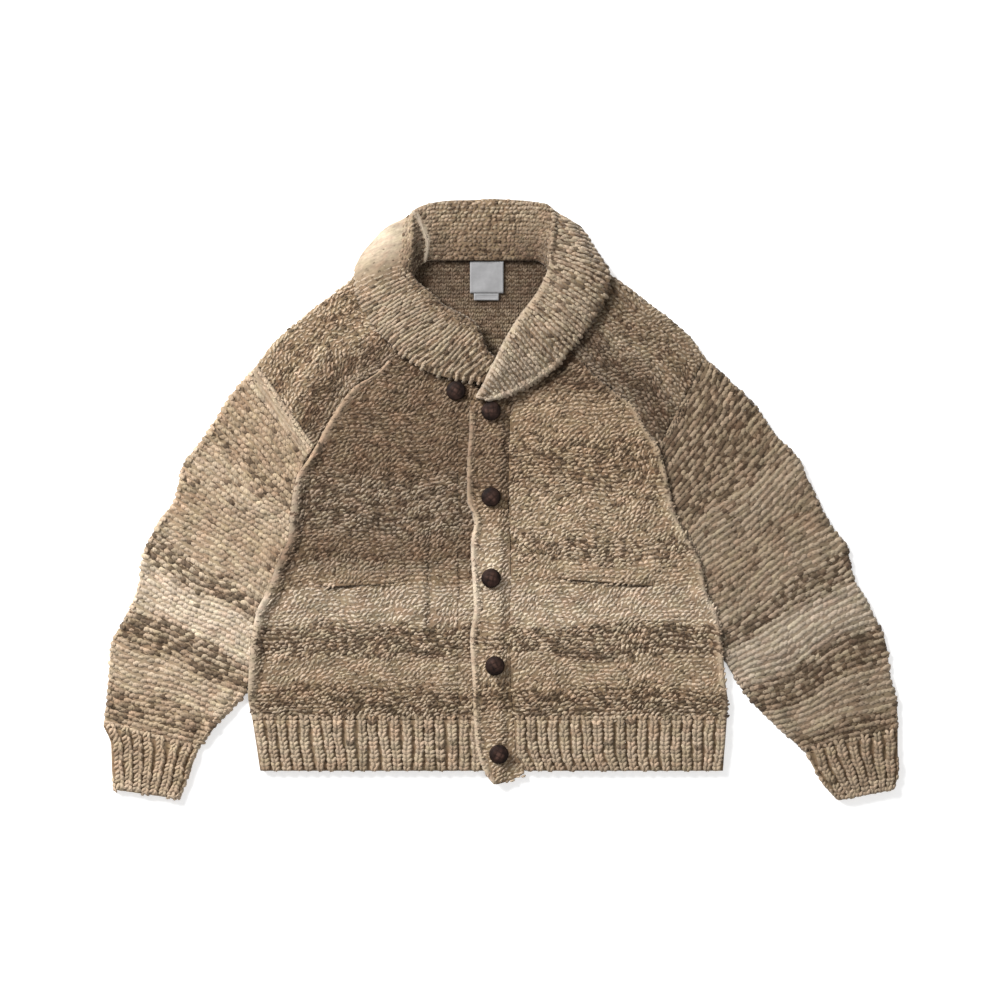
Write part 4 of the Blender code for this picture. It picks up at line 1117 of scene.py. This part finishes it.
BAND_DROP = 15.0  # over what length the button band comes down beside the under band
BAND_LEDGE = 6.0  # how far past the under band it stays level
BARE_ROWS = 3  # rows of its grid at the tip of its tongue that have no raised stitches
UNDER_BAND_EDGE = [
    (-45, 165), (-36, 150), (-28, 140), (-18, 125), (-11, 110), (-9, 90), (-9, 60), (-9, -347),
]
BUTTON_BAND_EDGE = [
    (-27, 138), (-34, 131), (-39, 122), (-40, 87), (-43, 36), (-43, 0), (-33, -26), (-38, -58), (-34, -142),
    (-39, -175), (-36, -227), (-33, -301), (-30, -323), (-21, -347), (-14, -358), (-9, -364),
]


def flat_front(x, y):
    return np.full_like(x, FRONT)


def button_band_layer(x, y):
    """The underside of the button band: on the under band, and down beside it to the left front."""
    past = x - x_at(UNDER_BAND_EDGE, y.ravel()).reshape(np.shape(x))
    return FRONT + (ON_FRONT - FRONT) * smooth_step((BAND_LEDGE + BAND_DROP - past) / BAND_DROP)


upper, lower, from_left, _ = panel(
    runs((UNDER_BAND_SEAM, 0)), runs((UNDER_BAND_EDGE, 0)), spaced(165, HEM_END, STEP, (HEM_TOP,)),
    flat_front, rounded=(0, 1, 1, 1),
)
x, y = upper[..., 0].copy(), upper[..., 1].copy()
ribs = from_left + 1.0 * uneven(x, y, 30, 71)
upper[..., 2] += 0.5 * uneven(x, y, 30, 71) + rib_rise(ribs) * smooth_step((HEM_TOP - y) / 6 + 0.3)
v = y + 2.5 * uneven(x, y, 60, 71)
shade = np.where(y < HEM_TOP, rib_painted_shade(ribs), PIT)
knit = cloth("under_band_knit", upper, lower, in_the_knitting(x, v, shade), front_wools["right"])
purled, ribbed = y[:, 0] > HEM_TOP - 2, y[:, 0] < HEM_TOP
made = [
    stitches(
        "under_band_stitches", upper[purled], x[purled], v[purled], PURL, front_wools["right"], 71, slant=30
    ),
    rib_stitches("under_band_rib", upper[ribbed], ribs[ribbed], y[ribbed] - HEM_TOP, hem_wool, 73),
]
sewn_on(knit, "under_band", made)

upper, lower, from_left, _ = panel(
    runs((BUTTON_BAND_EDGE, 0)), runs((BUTTON_BAND_SEAM, 0)), spaced(138, -364, STEP), button_band_layer,
    rounded=(1, 0.15, 1, 1),
)
x, y = upper[..., 0].copy(), upper[..., 1].copy()
plain = rolled_edge(upper, from_left, 2.2, 10, ROLL_TOP_LEVEL["band"])
upper[..., 2] += 0.5 * uneven(x, y, 30, 72)
v = y + 2.5 * uneven(x, y, 60, 72)
places = in_the_knitting(x, v, 0.7 * plain)
knit = cloth("button_band_knit", upper, lower, places, band_wool)
sunk = upper - [0, 0, BAND_SELVAGE_SINK] * plain[..., None]
made = stitches(
    "button_band_stitches", sunk[:-BARE_ROWS], x[:-BARE_ROWS], v[:-BARE_ROWS], PURL, band_wool, 72, slant=30
)
sewn_on(knit, "button_band", [made])


# Shawl collar. One long piece knitted onto the neck edge from the end of one front round the back
# neck to the other, and turned over outward. Its ridges run from its seam to its free edge.

COLLAR_COLUMNS = (
    "edge_x", "edge_y", "edge_z", "roll_x", "roll_y", "roll_z", "seam_x", "seam_y", "seam_z",
    "spread", "lean", "crown",
)
COLLAR = [
    (-16, 149, 13.6, -4, 184, 16.2, -16, 176, 13.4, 2.8, -1.0, 0.5),
    (-26, 151, 13.5, -13, 189, 16.4, -27, 181, 13.4, 2.9, -1.0, 1.0),
    (-60, 155, 13.4, -31, 228, 17.2, -48, 206, 13.4, 3.8, -1.0, 3.0),
    (-90, 163, 13.4, -53, 241, 17.6, -68, 218, 13.4, 4.2, -1.0, 3.5),
    (-122, 183, 13.4, -71, 251, 17.9, -87, 231, 13.4, 4.5, -1.0, 4.0),
    (-153, 214, 13.4, -90, 268, 18.4, -106, 250, 13.4, 5.0, -1.0, 4.5),
    (-172, 243, 13.4, -107, 283, 20.0, -116, 268, 13.4, 5.0, -0.85, 5.0),
    (-185, 270, 13.4, -115, 300, 24.0, -112, 286, 12.6, 5.0, -0.45, 5.5),
    (-187, 292, 12.5, -115, 316, 26.0, -104, 299, 9.8, 4.5, -0.15, 6.0),
    (-181, 309, 7.0, -112, 334, 25.0, -98, 305, 8.2, 4.0, 0.1, 6.0),
    (-167, 329, 3.4, -113, 353, 20.5, -92, 307, 7.8, 3.5, 0.35, 5.0),
    (-144, 349, 2.5, -112, 369, 14.0, -88, 307, 7.8, 3.2, 0.65, 2.5),
    (-116, 344, 2.5, -99, 379, 8.0, -80, 307, 7.8, 2.9, 0.9, 0.5),
    (-82, 312, 2.5, -77, 384, 5.3, -70, 307, 7.8, 2.8, 1.0, 0.0),
    (-25, 309.6, 2.5, -25, 387, 5.3, -25, 307, 7.8, 2.8, 1.0, 0.0),
    (25, 309.6, 2.5, 25, 386, 5.3, 22, 307, 7.8, 2.8, 1.0, 0.0),
    (66, 330, 2.5, 46, 383, 6.0, 36, 307, 7.8, 2.9, 1.0, 0.0),
    (86, 358, 2.5, 61, 378, 10.0, 42, 307, 7.8, 3.2, 0.8, 2.0),
    (101, 351, 2.6, 68, 364, 17.0, 46, 307, 7.8, 3.5, 0.45, 4.5),
    (120, 323, 5.5, 67, 343, 24.5, 50, 305, 8.2, 4.0, 0.1, 6.0),
    (140, 288, 12.6, 63, 320, 26.0, 57, 300, 9.8, 4.5, -0.15, 6.0),
    (134, 258, 13.4, 61, 300, 24.0, 66, 285, 12.6, 5.0, -0.45, 5.5),
    (115, 225, 13.4, 51, 275, 21.0, 64, 260, 13.4, 5.0, -0.9, 5.0),
    (94, 198, 13.4, 35, 252, 19.5, 53, 234, 13.4, 5.0, -1.0, 4.5),
    (71, 169, 13.4, 19, 229, 21.5, 36, 208, 14.0, 4.8, -1.0, 4.0),
    (47, 152, 13.6, 3, 204, 26.0, 18, 184, 17.5, 4.0, -1.0, 2.0),
    (24, 139, 15.6, -8, 179, 27.2, 3, 164, 21.5, 3.4, -1.0, 1.0),
    (3, 130, 18.6, -21, 155, 24.2, -12, 145, 20.6, 3.0, -1.0, 0.5),
    (-12, 127, 18.9, -34, 132, 21.2, -26, 131, 18.5, 2.8, -1.0, 0.0),
]
COLLAR_STATIONS = 168
COLLAR_LENGTH = 830.0
ROLL_LINE = 0.33  # how far across it, from seam to free edge, it turns over
MEASURED_AT = 0.6  # how far across it its length is measured
LIFTS = [(6, 630, 75), (4, 130, 60)]  # how high its free edge stands off, where, and over what length
SHOULDER_AT = 268.0  # the smooth light part on the wearer's right shoulder
PLAIN_SHOULDER = (242.0, 296.0)  # between these it has no ridges
RIGHT_LAPEL = 200.0
BACK_MIDDLE = 400.0
LEFT_LAPEL = 540.0
LAPEL_FADE = 60.0
BACK_PART = 290.0  # the collar's back part turns over above this level
HIDDEN_DEPTH = 3.2  # how deep stitches sink where they fade out
CORD_HEIGHT = 1.5  # a rounded cord finishes the edge at the foot of the left lapel
CORD_START = 690.0
FOLD_EDGE_HEIGHT = 2.8
FOLD_EDGE_WIDTH = 2.6
FOLD_EDGE_FOOT = 280.0
RIDGES_START = 0.33
MOSS_END = 0.58  # how far across it the moss stitch of the inner leaf fades out
ROLL_MOSS = (0.28, 0.45)  # and the part of the right lapel's roll that it covers
SLANTED_RIDGES = 0.5  # how far the ridges of the right lapel lean off square
UPRIGHT_LOOPS = 9.0  # how far in from its free edge they stand square again
COLLAR_RIDGE = (
    stitch_of("collar_stitch", bead(12.0, 5.6, 3.8, (0, 0, -0.9), 5, -0.006, sides=5, droop=0.008)), 6.8, 6.2,
)
MOSS = (stitch_of("moss_stitch", bead(7.4, 4.8, 3.8, (0, 0, -0.7), 24, sides=5)), 6.6, 5.4)

ROLL_TOP = 31.0  # the ground of its roll lies no higher

# Where the end of the back part stands up as a light edge beside the neck
FOLD_EDGE = [(-117, 374), (-107, 361), (-99, 347), (-93, 331), (-97, 305), (-99, 283)]
collar_wool = marled_wool(
    "collar_wool",
    [
        (0, "oatmeal", 0.35), (100, "oatmeal", 0.3), (195, "oatmeal", 0.25), (222, "cream", 0.0),
        (312, "cream", 0.0), (335, "oatmeal", 0.25),
        (400, "oatmeal", 0.25), (560, "oatmeal", 0.4), (700, "oatmeal", 0.3), (830, "cream", 0.1),
    ],
    lightness=0.68,
)
# Wool of the moss on the inner leaf: drawn dark brown towards the seam as painted shade in the hollow of the
# neck
collar_back_wool = marled_wool(
    "collar_back_wool",
    [(0, "brown", 0.55), (22, "brown", 0.4), (45, "fawn", 0.3), (75, "oatmeal", 0.3)],
    lightness=0.59,
)


def collar_middle(station_steps, across):
    """The middle of the collar's wall: one row of points across it for each station."""
    table = np.array(COLLAR, float)
    stations = curve(along(table[:, 3:5]), table, np.linspace(0, 1, station_steps + 1))
    column = {name: stations[:, i] for i, name in enumerate(COLLAR_COLUMNS)}
    edge, roll, seam = (
        np.column_stack([column[f"{part}_{axis}"] for axis in "xyz"]) for part in ("edge", "roll", "seam")
    )
    middle = []
    for i in range(len(stations)):  # its wall turns over at the roll, between its seam and its edge
        to_edge = (edge[i] - roll[i])[:2] / math.dist(edge[i][:2], roll[i][:2])
        to_seam = (seam[i] - roll[i])[:2] / math.dist(seam[i][:2], roll[i][:2])
        inward = (to_edge + to_seam) / np.linalg.norm(to_edge + to_seam)
        spread, lean, crown = column["spread"][i], column["lean"][i], column["crown"][i]
        drop = 2.5 * (1 - abs(lean))
        turn = roll[i] + [*(inward * WALL / 2), 0]
        near_seam = turn + [*(to_seam * spread * 1.4), spread * lean - drop]
        near_edge = turn + [*(to_edge * spread * 1.4), -spread * lean - drop]
        seam_leaf = (near_seam + seam[i]) / 2
        edge_leaf = 0.55 * near_edge + 0.45 * edge[i] + [0, 0, crown]
        knots = np.array([seam[i], seam_leaf, near_seam, turn, near_edge, edge_leaf, edge[i]])
        share = run_along(knots)
        share /= share[-1]
        fixed = np.interp(across, [0, 0.27, 0.33, 0.39, 1], [0, share[2], share[3], share[4], 1])
        middle.append(curve(share, knots, fixed))
    return np.array(middle)


across_collar = np.concatenate(
    [[0, 0.006, 0.015, 0.03], np.linspace(0.05, 0.25, 9), np.linspace(0.27, 0.4, 12),
     np.linspace(0.43, 0.96, 20), [0.972, 0.985, 0.994, 1]]
)
middle = collar_middle(COLLAR_STATIONS, across_collar)
steps = np.linalg.norm(np.diff(middle, axis=1), axis=2)
from_seam = np.concatenate([np.zeros((len(middle), 1)), np.cumsum(steps, axis=1)], axis=1)
from_edge = from_seam[:, -1:] - from_seam
down_collar = run_along(middle[:, across_collar.searchsorted(MEASURED_AT)])
down_collar = np.repeat(down_collar[:, None], middle.shape[1], axis=1)
from_ends = np.minimum(down_collar, down_collar[-1:] - down_collar)
v = down_collar * COLLAR_LENGTH / down_collar.max()
plain_rows = v[:, 0]
lifted = sum(height * near(v, place, reach) for height, place, reach in LIFTS)
middle[..., 2] += lifted * smooth_step((across_collar - 0.5) / 0.5)
down, over = np.gradient(middle, axis=0), np.gradient(middle, axis=1)
normal = np.cross(down, over)
normal /= np.linalg.norm(normal, axis=2, keepdims=True)
cord = CORD_HEIGHT * smooth_step((v - CORD_START) / LAPEL_FADE) * near(from_edge, 4.5, 3)
half = WALL / 2 - 0.5 * (edge_drop(from_seam) + edge_drop(from_edge) + edge_drop(from_ends))
lumps = 0.6 * uneven(middle[..., 0] + middle[..., 2], middle[..., 1], 30, 81)
outer = middle + normal * (half - SINK * half / half.max() + lumps + cord)[..., None]
inner = middle - normal * half[..., None]
on_shoulder = near(v, SHOULDER_AT, 45)
left_lapel = smooth_step((v - LEFT_LAPEL) / LAPEL_FADE)
from_roll = np.clip(from_seam - from_seam[:, across_collar.searchsorted(ROLL_LINE)][:, None], 0, None)
lean = SLANTED_RIDGES * near(np.clip(v - 90, 0, None), 0, 75)
right_lapel = smooth_step((RIGHT_LAPEL - v) / LAPEL_FADE)
leaned = np.minimum(from_roll, np.clip(from_roll[:, -1:] - UPRIGHT_LOOPS, 0, None))
v = v - lean * leaned + 2.5 * uneven(middle[..., 0], middle[..., 1], 60, 82)
at_roll, by_roll, round_roll = (
    near(across_collar, ROLL_LINE, reach)[None, :] for reach in (0.05, 0.12, 0.15)
)
smooth = at_roll * left_lapel + by_roll * right_lapel
fold = near(away_from(FOLD_EDGE, middle[..., 0], middle[..., 1]), 0, FOLD_EDGE_WIDTH)
fold *= (across_collar < ROLL_LINE) * (middle[..., 1] > FOLD_EDGE_FOOT)
outer += normal * (FOLD_EDGE_HEIGHT * fold)[..., None]
outer[..., 2] = np.minimum(outer[..., 2], ROLL_TOP)
# The smooth shoulder's ground is drawn pale, and darker towards the roll: painted shade
light = 0.48 * on_shoulder * (1 - 0.9 * round_roll)
shade = np.maximum(np.maximum(0.6 * at_roll * left_lapel, light), np.minimum(0.8 * cord, 0.8))
shade = np.maximum(shade, 0.8 * fold)
collar = cloth("collar_knit", outer, inner, in_the_knitting(from_seam, v, shade), collar_wool)
sunk = outer - normal * (HIDDEN_DEPTH * on_shoulder + 1.3 * smooth)[..., None]
made = []
for name, beside_it in (
    ("collar_stitches", plain_rows < PLAIN_SHOULDER[0]),
    ("collar_back_stitches", plain_rows > PLAIN_SHOULDER[1]),
):
    turned = np.ix_(beside_it, across_collar > RIDGES_START)
    made.append(stitches(
        name, sunk[turned], from_seam[turned], v[turned], COLLAR_RIDGE, collar_wool, 83, turn=6, size=0.22,
        astray=0.14, shades=0.18, steepest=-0.05,
    ))
in_roll = (across_collar > ROLL_MOSS[0]) & (across_collar < ROLL_MOSS[1])
roll = np.ix_(down_collar[:, 0] < RIGHT_LAPEL, in_roll)
made.append(stitches(
    "collar_roll_moss", outer[roll], v[roll], from_seam[roll], MOSS, collar_back_wool, 85,
    turn=40, astray=0.3, steepest=-0.05,
))
at_back = middle[:, across_collar.searchsorted(ROLL_LINE), 1] > BACK_PART
leaf = np.ix_(at_back, across_collar < MOSS_END)
past_roll = across_collar - ROLL_LINE - np.where(v < BACK_MIDDLE, 0.1, -0.02)
fading = smooth_step(past_roll / 0.15)
under_fold = outer - normal * (2.2 * fold + HIDDEN_DEPTH * fading)[..., None]
made.append(stitches(
    "collar_moss", under_fold[leaf], v[leaf], from_seam[leaf], MOSS, collar_back_wool, 84, turn=30,
    steepest=-0.05,
))
sewn_on(collar, "collar", made)


# Pocket welts. A strip of finer knitting above each slit, whose lower edge stands free over it.

WELT_HEIGHT = 2.4
WELT_DEPTH = 19.0
WELT_FADE = 9.0  # over what length it fades into the front above it
WELT_END_FADE = 16.0  # and at its ends
WELT_SUNK = 1.6  # how far it lies in the front's stitches where it has faded
for side in POCKETS:
    (x0, y0), (x1, y1) = POCKETS[side]
    share = (spaced(0, x1 - x0, STEP) / (x1 - x0))[None, :]
    depth = spaced(0, WELT_DEPTH, STEP)[:, None]
    x = x0 + share * (x1 - x0) + 0 * depth
    y = y0 + share * (y1 - y0) + depth
    from_end = np.minimum(x - x0, x1 - x)
    fading = np.minimum(smooth_step((WELT_DEPTH - depth) / WELT_FADE), smooth_step(from_end / WELT_END_FADE))
    below = front_layer(x, y) + WALL + SEAM - WELT_SUNK * (1 - fading)
    height = 1.7 * fading * np.interp(x, *SLITS[side]) / 5 + 0.2 * uneven(x, y, 12, 91)
    upper = np.stack([x, y, below + np.clip(height, 0.2, WELT_HEIGHT)], axis=2)
    lower = np.stack([x, y, below], axis=2)
    welt = cloth(f"pocket_welt_{side}_knit", upper, lower, in_the_knitting(x, y), front_wools[side])
    made = stitches(f"pocket_welt_{side}_stitches", upper, x, y, PURL, front_wools[side], 91, slant=35)
    sewn_on(welt, f"pocket_welt_{side}", [made])


# Labels. Two woven satin labels, one below the other, bare, with folded ends, sewn to the inside of
# the back under the neck seam.

LABEL_THICKNESS = 1.0
LABELS = {"neck_label": (-39, 4, 265, 306), "care_label": (-34, -2, 256, 264.7)}
woven, tree, shader = material("woven_label")
place = add(tree, "ShaderNodeTexCoord").outputs["Object"]
warp = add(tree, "ShaderNodeTexWave", {"Vector": place, "Scale": 700.0}, bands_direction="X").outputs[1]
weft = add(tree, "ShaderNodeTexWave", {"Vector": place, "Scale": 420.0}, bands_direction="Y").outputs[1]
grain = add(tree, "ShaderNodeTexNoise", {"Vector": place, "Scale": 160.0}).outputs[0]
weave = maths(tree, "MULTIPLY_ADD", warp, 0.5, maths(tree, "MULTIPLY", weft, 0.5))
worn = maths(tree, "MULTIPLY_ADD", grain, 0.6, maths(tree, "MULTIPLY", weave, 0.4))
# The white label is drawn grey: painted shade inside the neck
label_grey_painted_shade = ramp(tree, worn, [(0, (0.16, 0.158, 0.16, 1)), (1, (0.30, 0.297, 0.30, 1))])[0]
relief = add(tree, "ShaderNodeBump", {"Height": weave, "Strength": 0.4, "Distance": 0.0002}).outputs[0]
plug(tree, shader, {"Base Color": label_grey_painted_shade, "Normal": relief, "Roughness": 0.55, "Sheen Weight": 0.1})
for name, (x0, x1, y0, y1) in LABELS.items():
    x, y = np.meshgrid(np.linspace(x0, x1, 33), np.linspace(y0, y1, 17))
    level = WALL + SEAM + 0.25 * uneven(x, y, 14, 95)
    hem = np.minimum(np.minimum(x - x0, x1 - x), np.minimum(y - y0, y1 - y))
    fold = np.where(hem < 2.5, 0.25, 0) - np.where(hem < 0.1, 0.5, 0)
    upper = np.stack([x, y, level + LABEL_THICKNESS - 0.3 + fold], axis=2)
    lower = np.stack([x, y, level], axis=2)
    label = cloth(f"{name}_ribbon", upper, lower, in_the_knitting(x, y), woven)
    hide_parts(name)
    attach(label, "root")


# Buttons. Six domed buttons of brown leather strips woven three by three over a mould and gathered
# under a rim, each sewn through its band by a shank. The top one is left unfastened.

BUTTON_WIDTH = 25.0
BUTTON_HEIGHT = 6.5
BUTTON_SEAT = ON_FRONT + WALL + SEAM
BUTTONS = [(-57, 140), (-12, 114), (-12, 4), (-12, -100), (-7, -212), (-2, -325)]
TOP_BUTTON_LEVEL = ON_FRONT
STRIP = 6.8  # width of one leather strip
BROWNS = [
    (0.4, (0.008, 0.004, 0.003, 1)), (0.62, (0.03, 0.015, 0.011, 1)), (0.85, (0.085, 0.045, 0.034, 1)),
]
leather, tree, shader = material("button_leather")
place = add(tree, "ShaderNodeTexCoord").outputs["Object"]
grain = add(tree, "ShaderNodeTexNoise", {"Vector": place, "Scale": 500.0, "Detail": 6.0}).outputs[0]
worn_patch = add(tree, "ShaderNodeTexNoise", {"Vector": place, "Scale": 90.0, "Detail": 2.0}).outputs[0]
pores = add(tree, "ShaderNodeTexVoronoi", {"Vector": place, "Scale": 1400.0}).outputs[0]
groove = add(tree, "ShaderNodeAttribute", attribute_name="groove").outputs["Fac"]
# Lighter in random worn patches and on the strips' crests near the middle of the dome, darker in the grooves
# and at the rim
worn_patches_and_crests = maths(tree, "MULTIPLY_ADD", worn_patch, 0.7, maths(tree, "MULTIPLY", groove, 0.3))
brown = ramp(tree, maths(tree, "MULTIPLY_ADD", grain, 0.2, worn_patches_and_crests), BROWNS)[0]
height = maths(tree, "MULTIPLY_ADD", grain, 0.5, maths(tree, "MULTIPLY", pores, 0.5))
relief = add(tree, "ShaderNodeBump", {"Height": height, "Strength": 0.35, "Distance": 0.0003}).outputs[0]
plug(tree, shader, {"Base Color": brown, "Normal": relief, "Roughness": 0.65, "Specular IOR Level": 0.12})


def woven_button(name, x, y, level, turned):
    """A dome with the strips' crossings raised in it, over a rim that turns in to a flat seat."""
    rings, around = 14, 36
    radius = BUTTON_WIDTH / 2
    dome = [(r, math.sqrt(1 - (0.93 * r) ** 2)) for r in np.linspace(0.06, 1, rings)]
    profile = [(r, h + 0.1 * math.exp(-(((r - 0.88) / 0.07) ** 2))) for r, h in dome]
    profile += [(1.0, 0.26), (0.93, 0.1), (0.7, 0.0)]
    points, groove = [(0, 0, BUTTON_HEIGHT - 0.5)], [1.0]
    for r, h in profile:
        for step in range(around):
            angle = 2 * math.pi * step / around
            px, py = radius * r * math.cos(angle), radius * r * math.sin(angle)
            a, b = px / STRIP + 0.5, py / STRIP + 0.5
            over = (math.floor(a) + math.floor(b)) % 2 == 0
            along_strip, across_strip = (a % 1, b % 1) if over else (b % 1, a % 1)
            arch = math.sin(math.pi * along_strip) ** 0.5 * math.sin(math.pi * across_strip) ** 0.25
            on_dome = h > 0.3
            points.append((px, py, (BUTTON_HEIGHT - 0.9) * h + (0.45 * arch if on_dome else 0)))
            groove.append(arch * min(max(1.7 - 2.1 * r, 0), 1) if on_dome else 0.1)
    points = np.array(points)
    points = points @ turned_by(turned)
    points += [x - CENTRE[0], y - CENTRE[1], level]
    faces = [(0, 1 + j, 1 + (j + 1) % around) for j in range(around)]
    for ring in range(len(profile) - 1):
        low, high = 1 + ring * around, 1 + (ring + 1) * around
        for j in range(around):
            k = (j + 1) % around
            faces.append((low + j, high + j, high + k, low + k))
    seat = 1 + (len(profile) - 1) * around
    faces.append(tuple(seat + j for j in reversed(range(around))))
    mesh = bpy.data.meshes.new(name)
    mesh.from_pydata((points * METRES).tolist(), [], faces)
    mesh.attributes.new("groove", "FLOAT", "POINT").data.foreach_set("value", groove)
    mesh.shade_smooth()
    mesh.materials.append(leather)
    return set_down(name, mesh)


for number, (x, y) in enumerate(BUTTONS, start=1):
    level = TOP_BUTTON_LEVEL if number == 1 else BUTTON_SEAT
    button = woven_button(f"button_{number}_woven", x, y, level, 20 + 37 * number)
    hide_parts(f"button_{number}")
    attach(button, "root")


# The white table that the cardigan lies on, a soft light from the upper left, and the camera above.
# The templates of the stitches are put away first.

for template in [held for held in bpy.data.objects if held.name.endswith("_stitch")]:
    bpy.data.objects.remove(template)

FLOOR = 6.0
mesh = bpy.data.meshes.new("floor")
corners = [(-FLOOR, -FLOOR, 0), (FLOOR, -FLOOR, 0), (FLOOR, FLOOR, 0), (-FLOOR, FLOOR, 0)]
mesh.from_pydata(corners, [], [(0, 1, 2, 3)])
paper, tree, shader = material("white_paper")
plug(tree, shader, {
    "Base Color": (0.9, 0.9, 0.9, 1), "Roughness": 0.9,
    "Emission Color": (1, 1, 1, 1), "Emission Strength": 0.45,
})
mesh.materials.append(paper)
floor = set_down("floor", mesh)


def soft_light(name, place, size, power):
    """A round light that points at the garment."""
    lamp = bpy.data.lights.new(name, "AREA")
    lamp.shape = "DISK"
    lamp.size = size
    lamp.energy = power
    placed = set_down(name, lamp)
    placed.location = place
    pitch = math.acos(place[2] / math.hypot(*place))
    placed.rotation_euler = (pitch, 0, math.atan2(-place[1], -place[0]) - math.pi / 2)


soft_light("key", (-2.25, 2.15, 2.0), 1.9, 285)
soft_light("fill", (1.5, -1.2, 3.2), 2.5, 18)
world = bpy.data.worlds.new("studio")
world.use_nodes = True
plug(world.node_tree, world.node_tree.nodes["Background"], {"Color": (1, 1, 1, 1), "Strength": 0.34})
bpy.context.scene.world = world
bpy.context.scene.view_settings.view_transform = "Standard"

CAMERA_HEIGHT = 4.0
SHOWN_WIDTH = 1.28
GARMENT_LEVEL = 0.012
camera = bpy.data.cameras.new("camera")
camera.sensor_width = 36.0
camera.lens = camera.sensor_width * CAMERA_HEIGHT / SHOWN_WIDTH
viewer = set_down("camera", camera)
viewer.location = (-0.001, -0.001, GARMENT_LEVEL + CAMERA_HEIGHT)
bpy.context.scene.camera = viewer
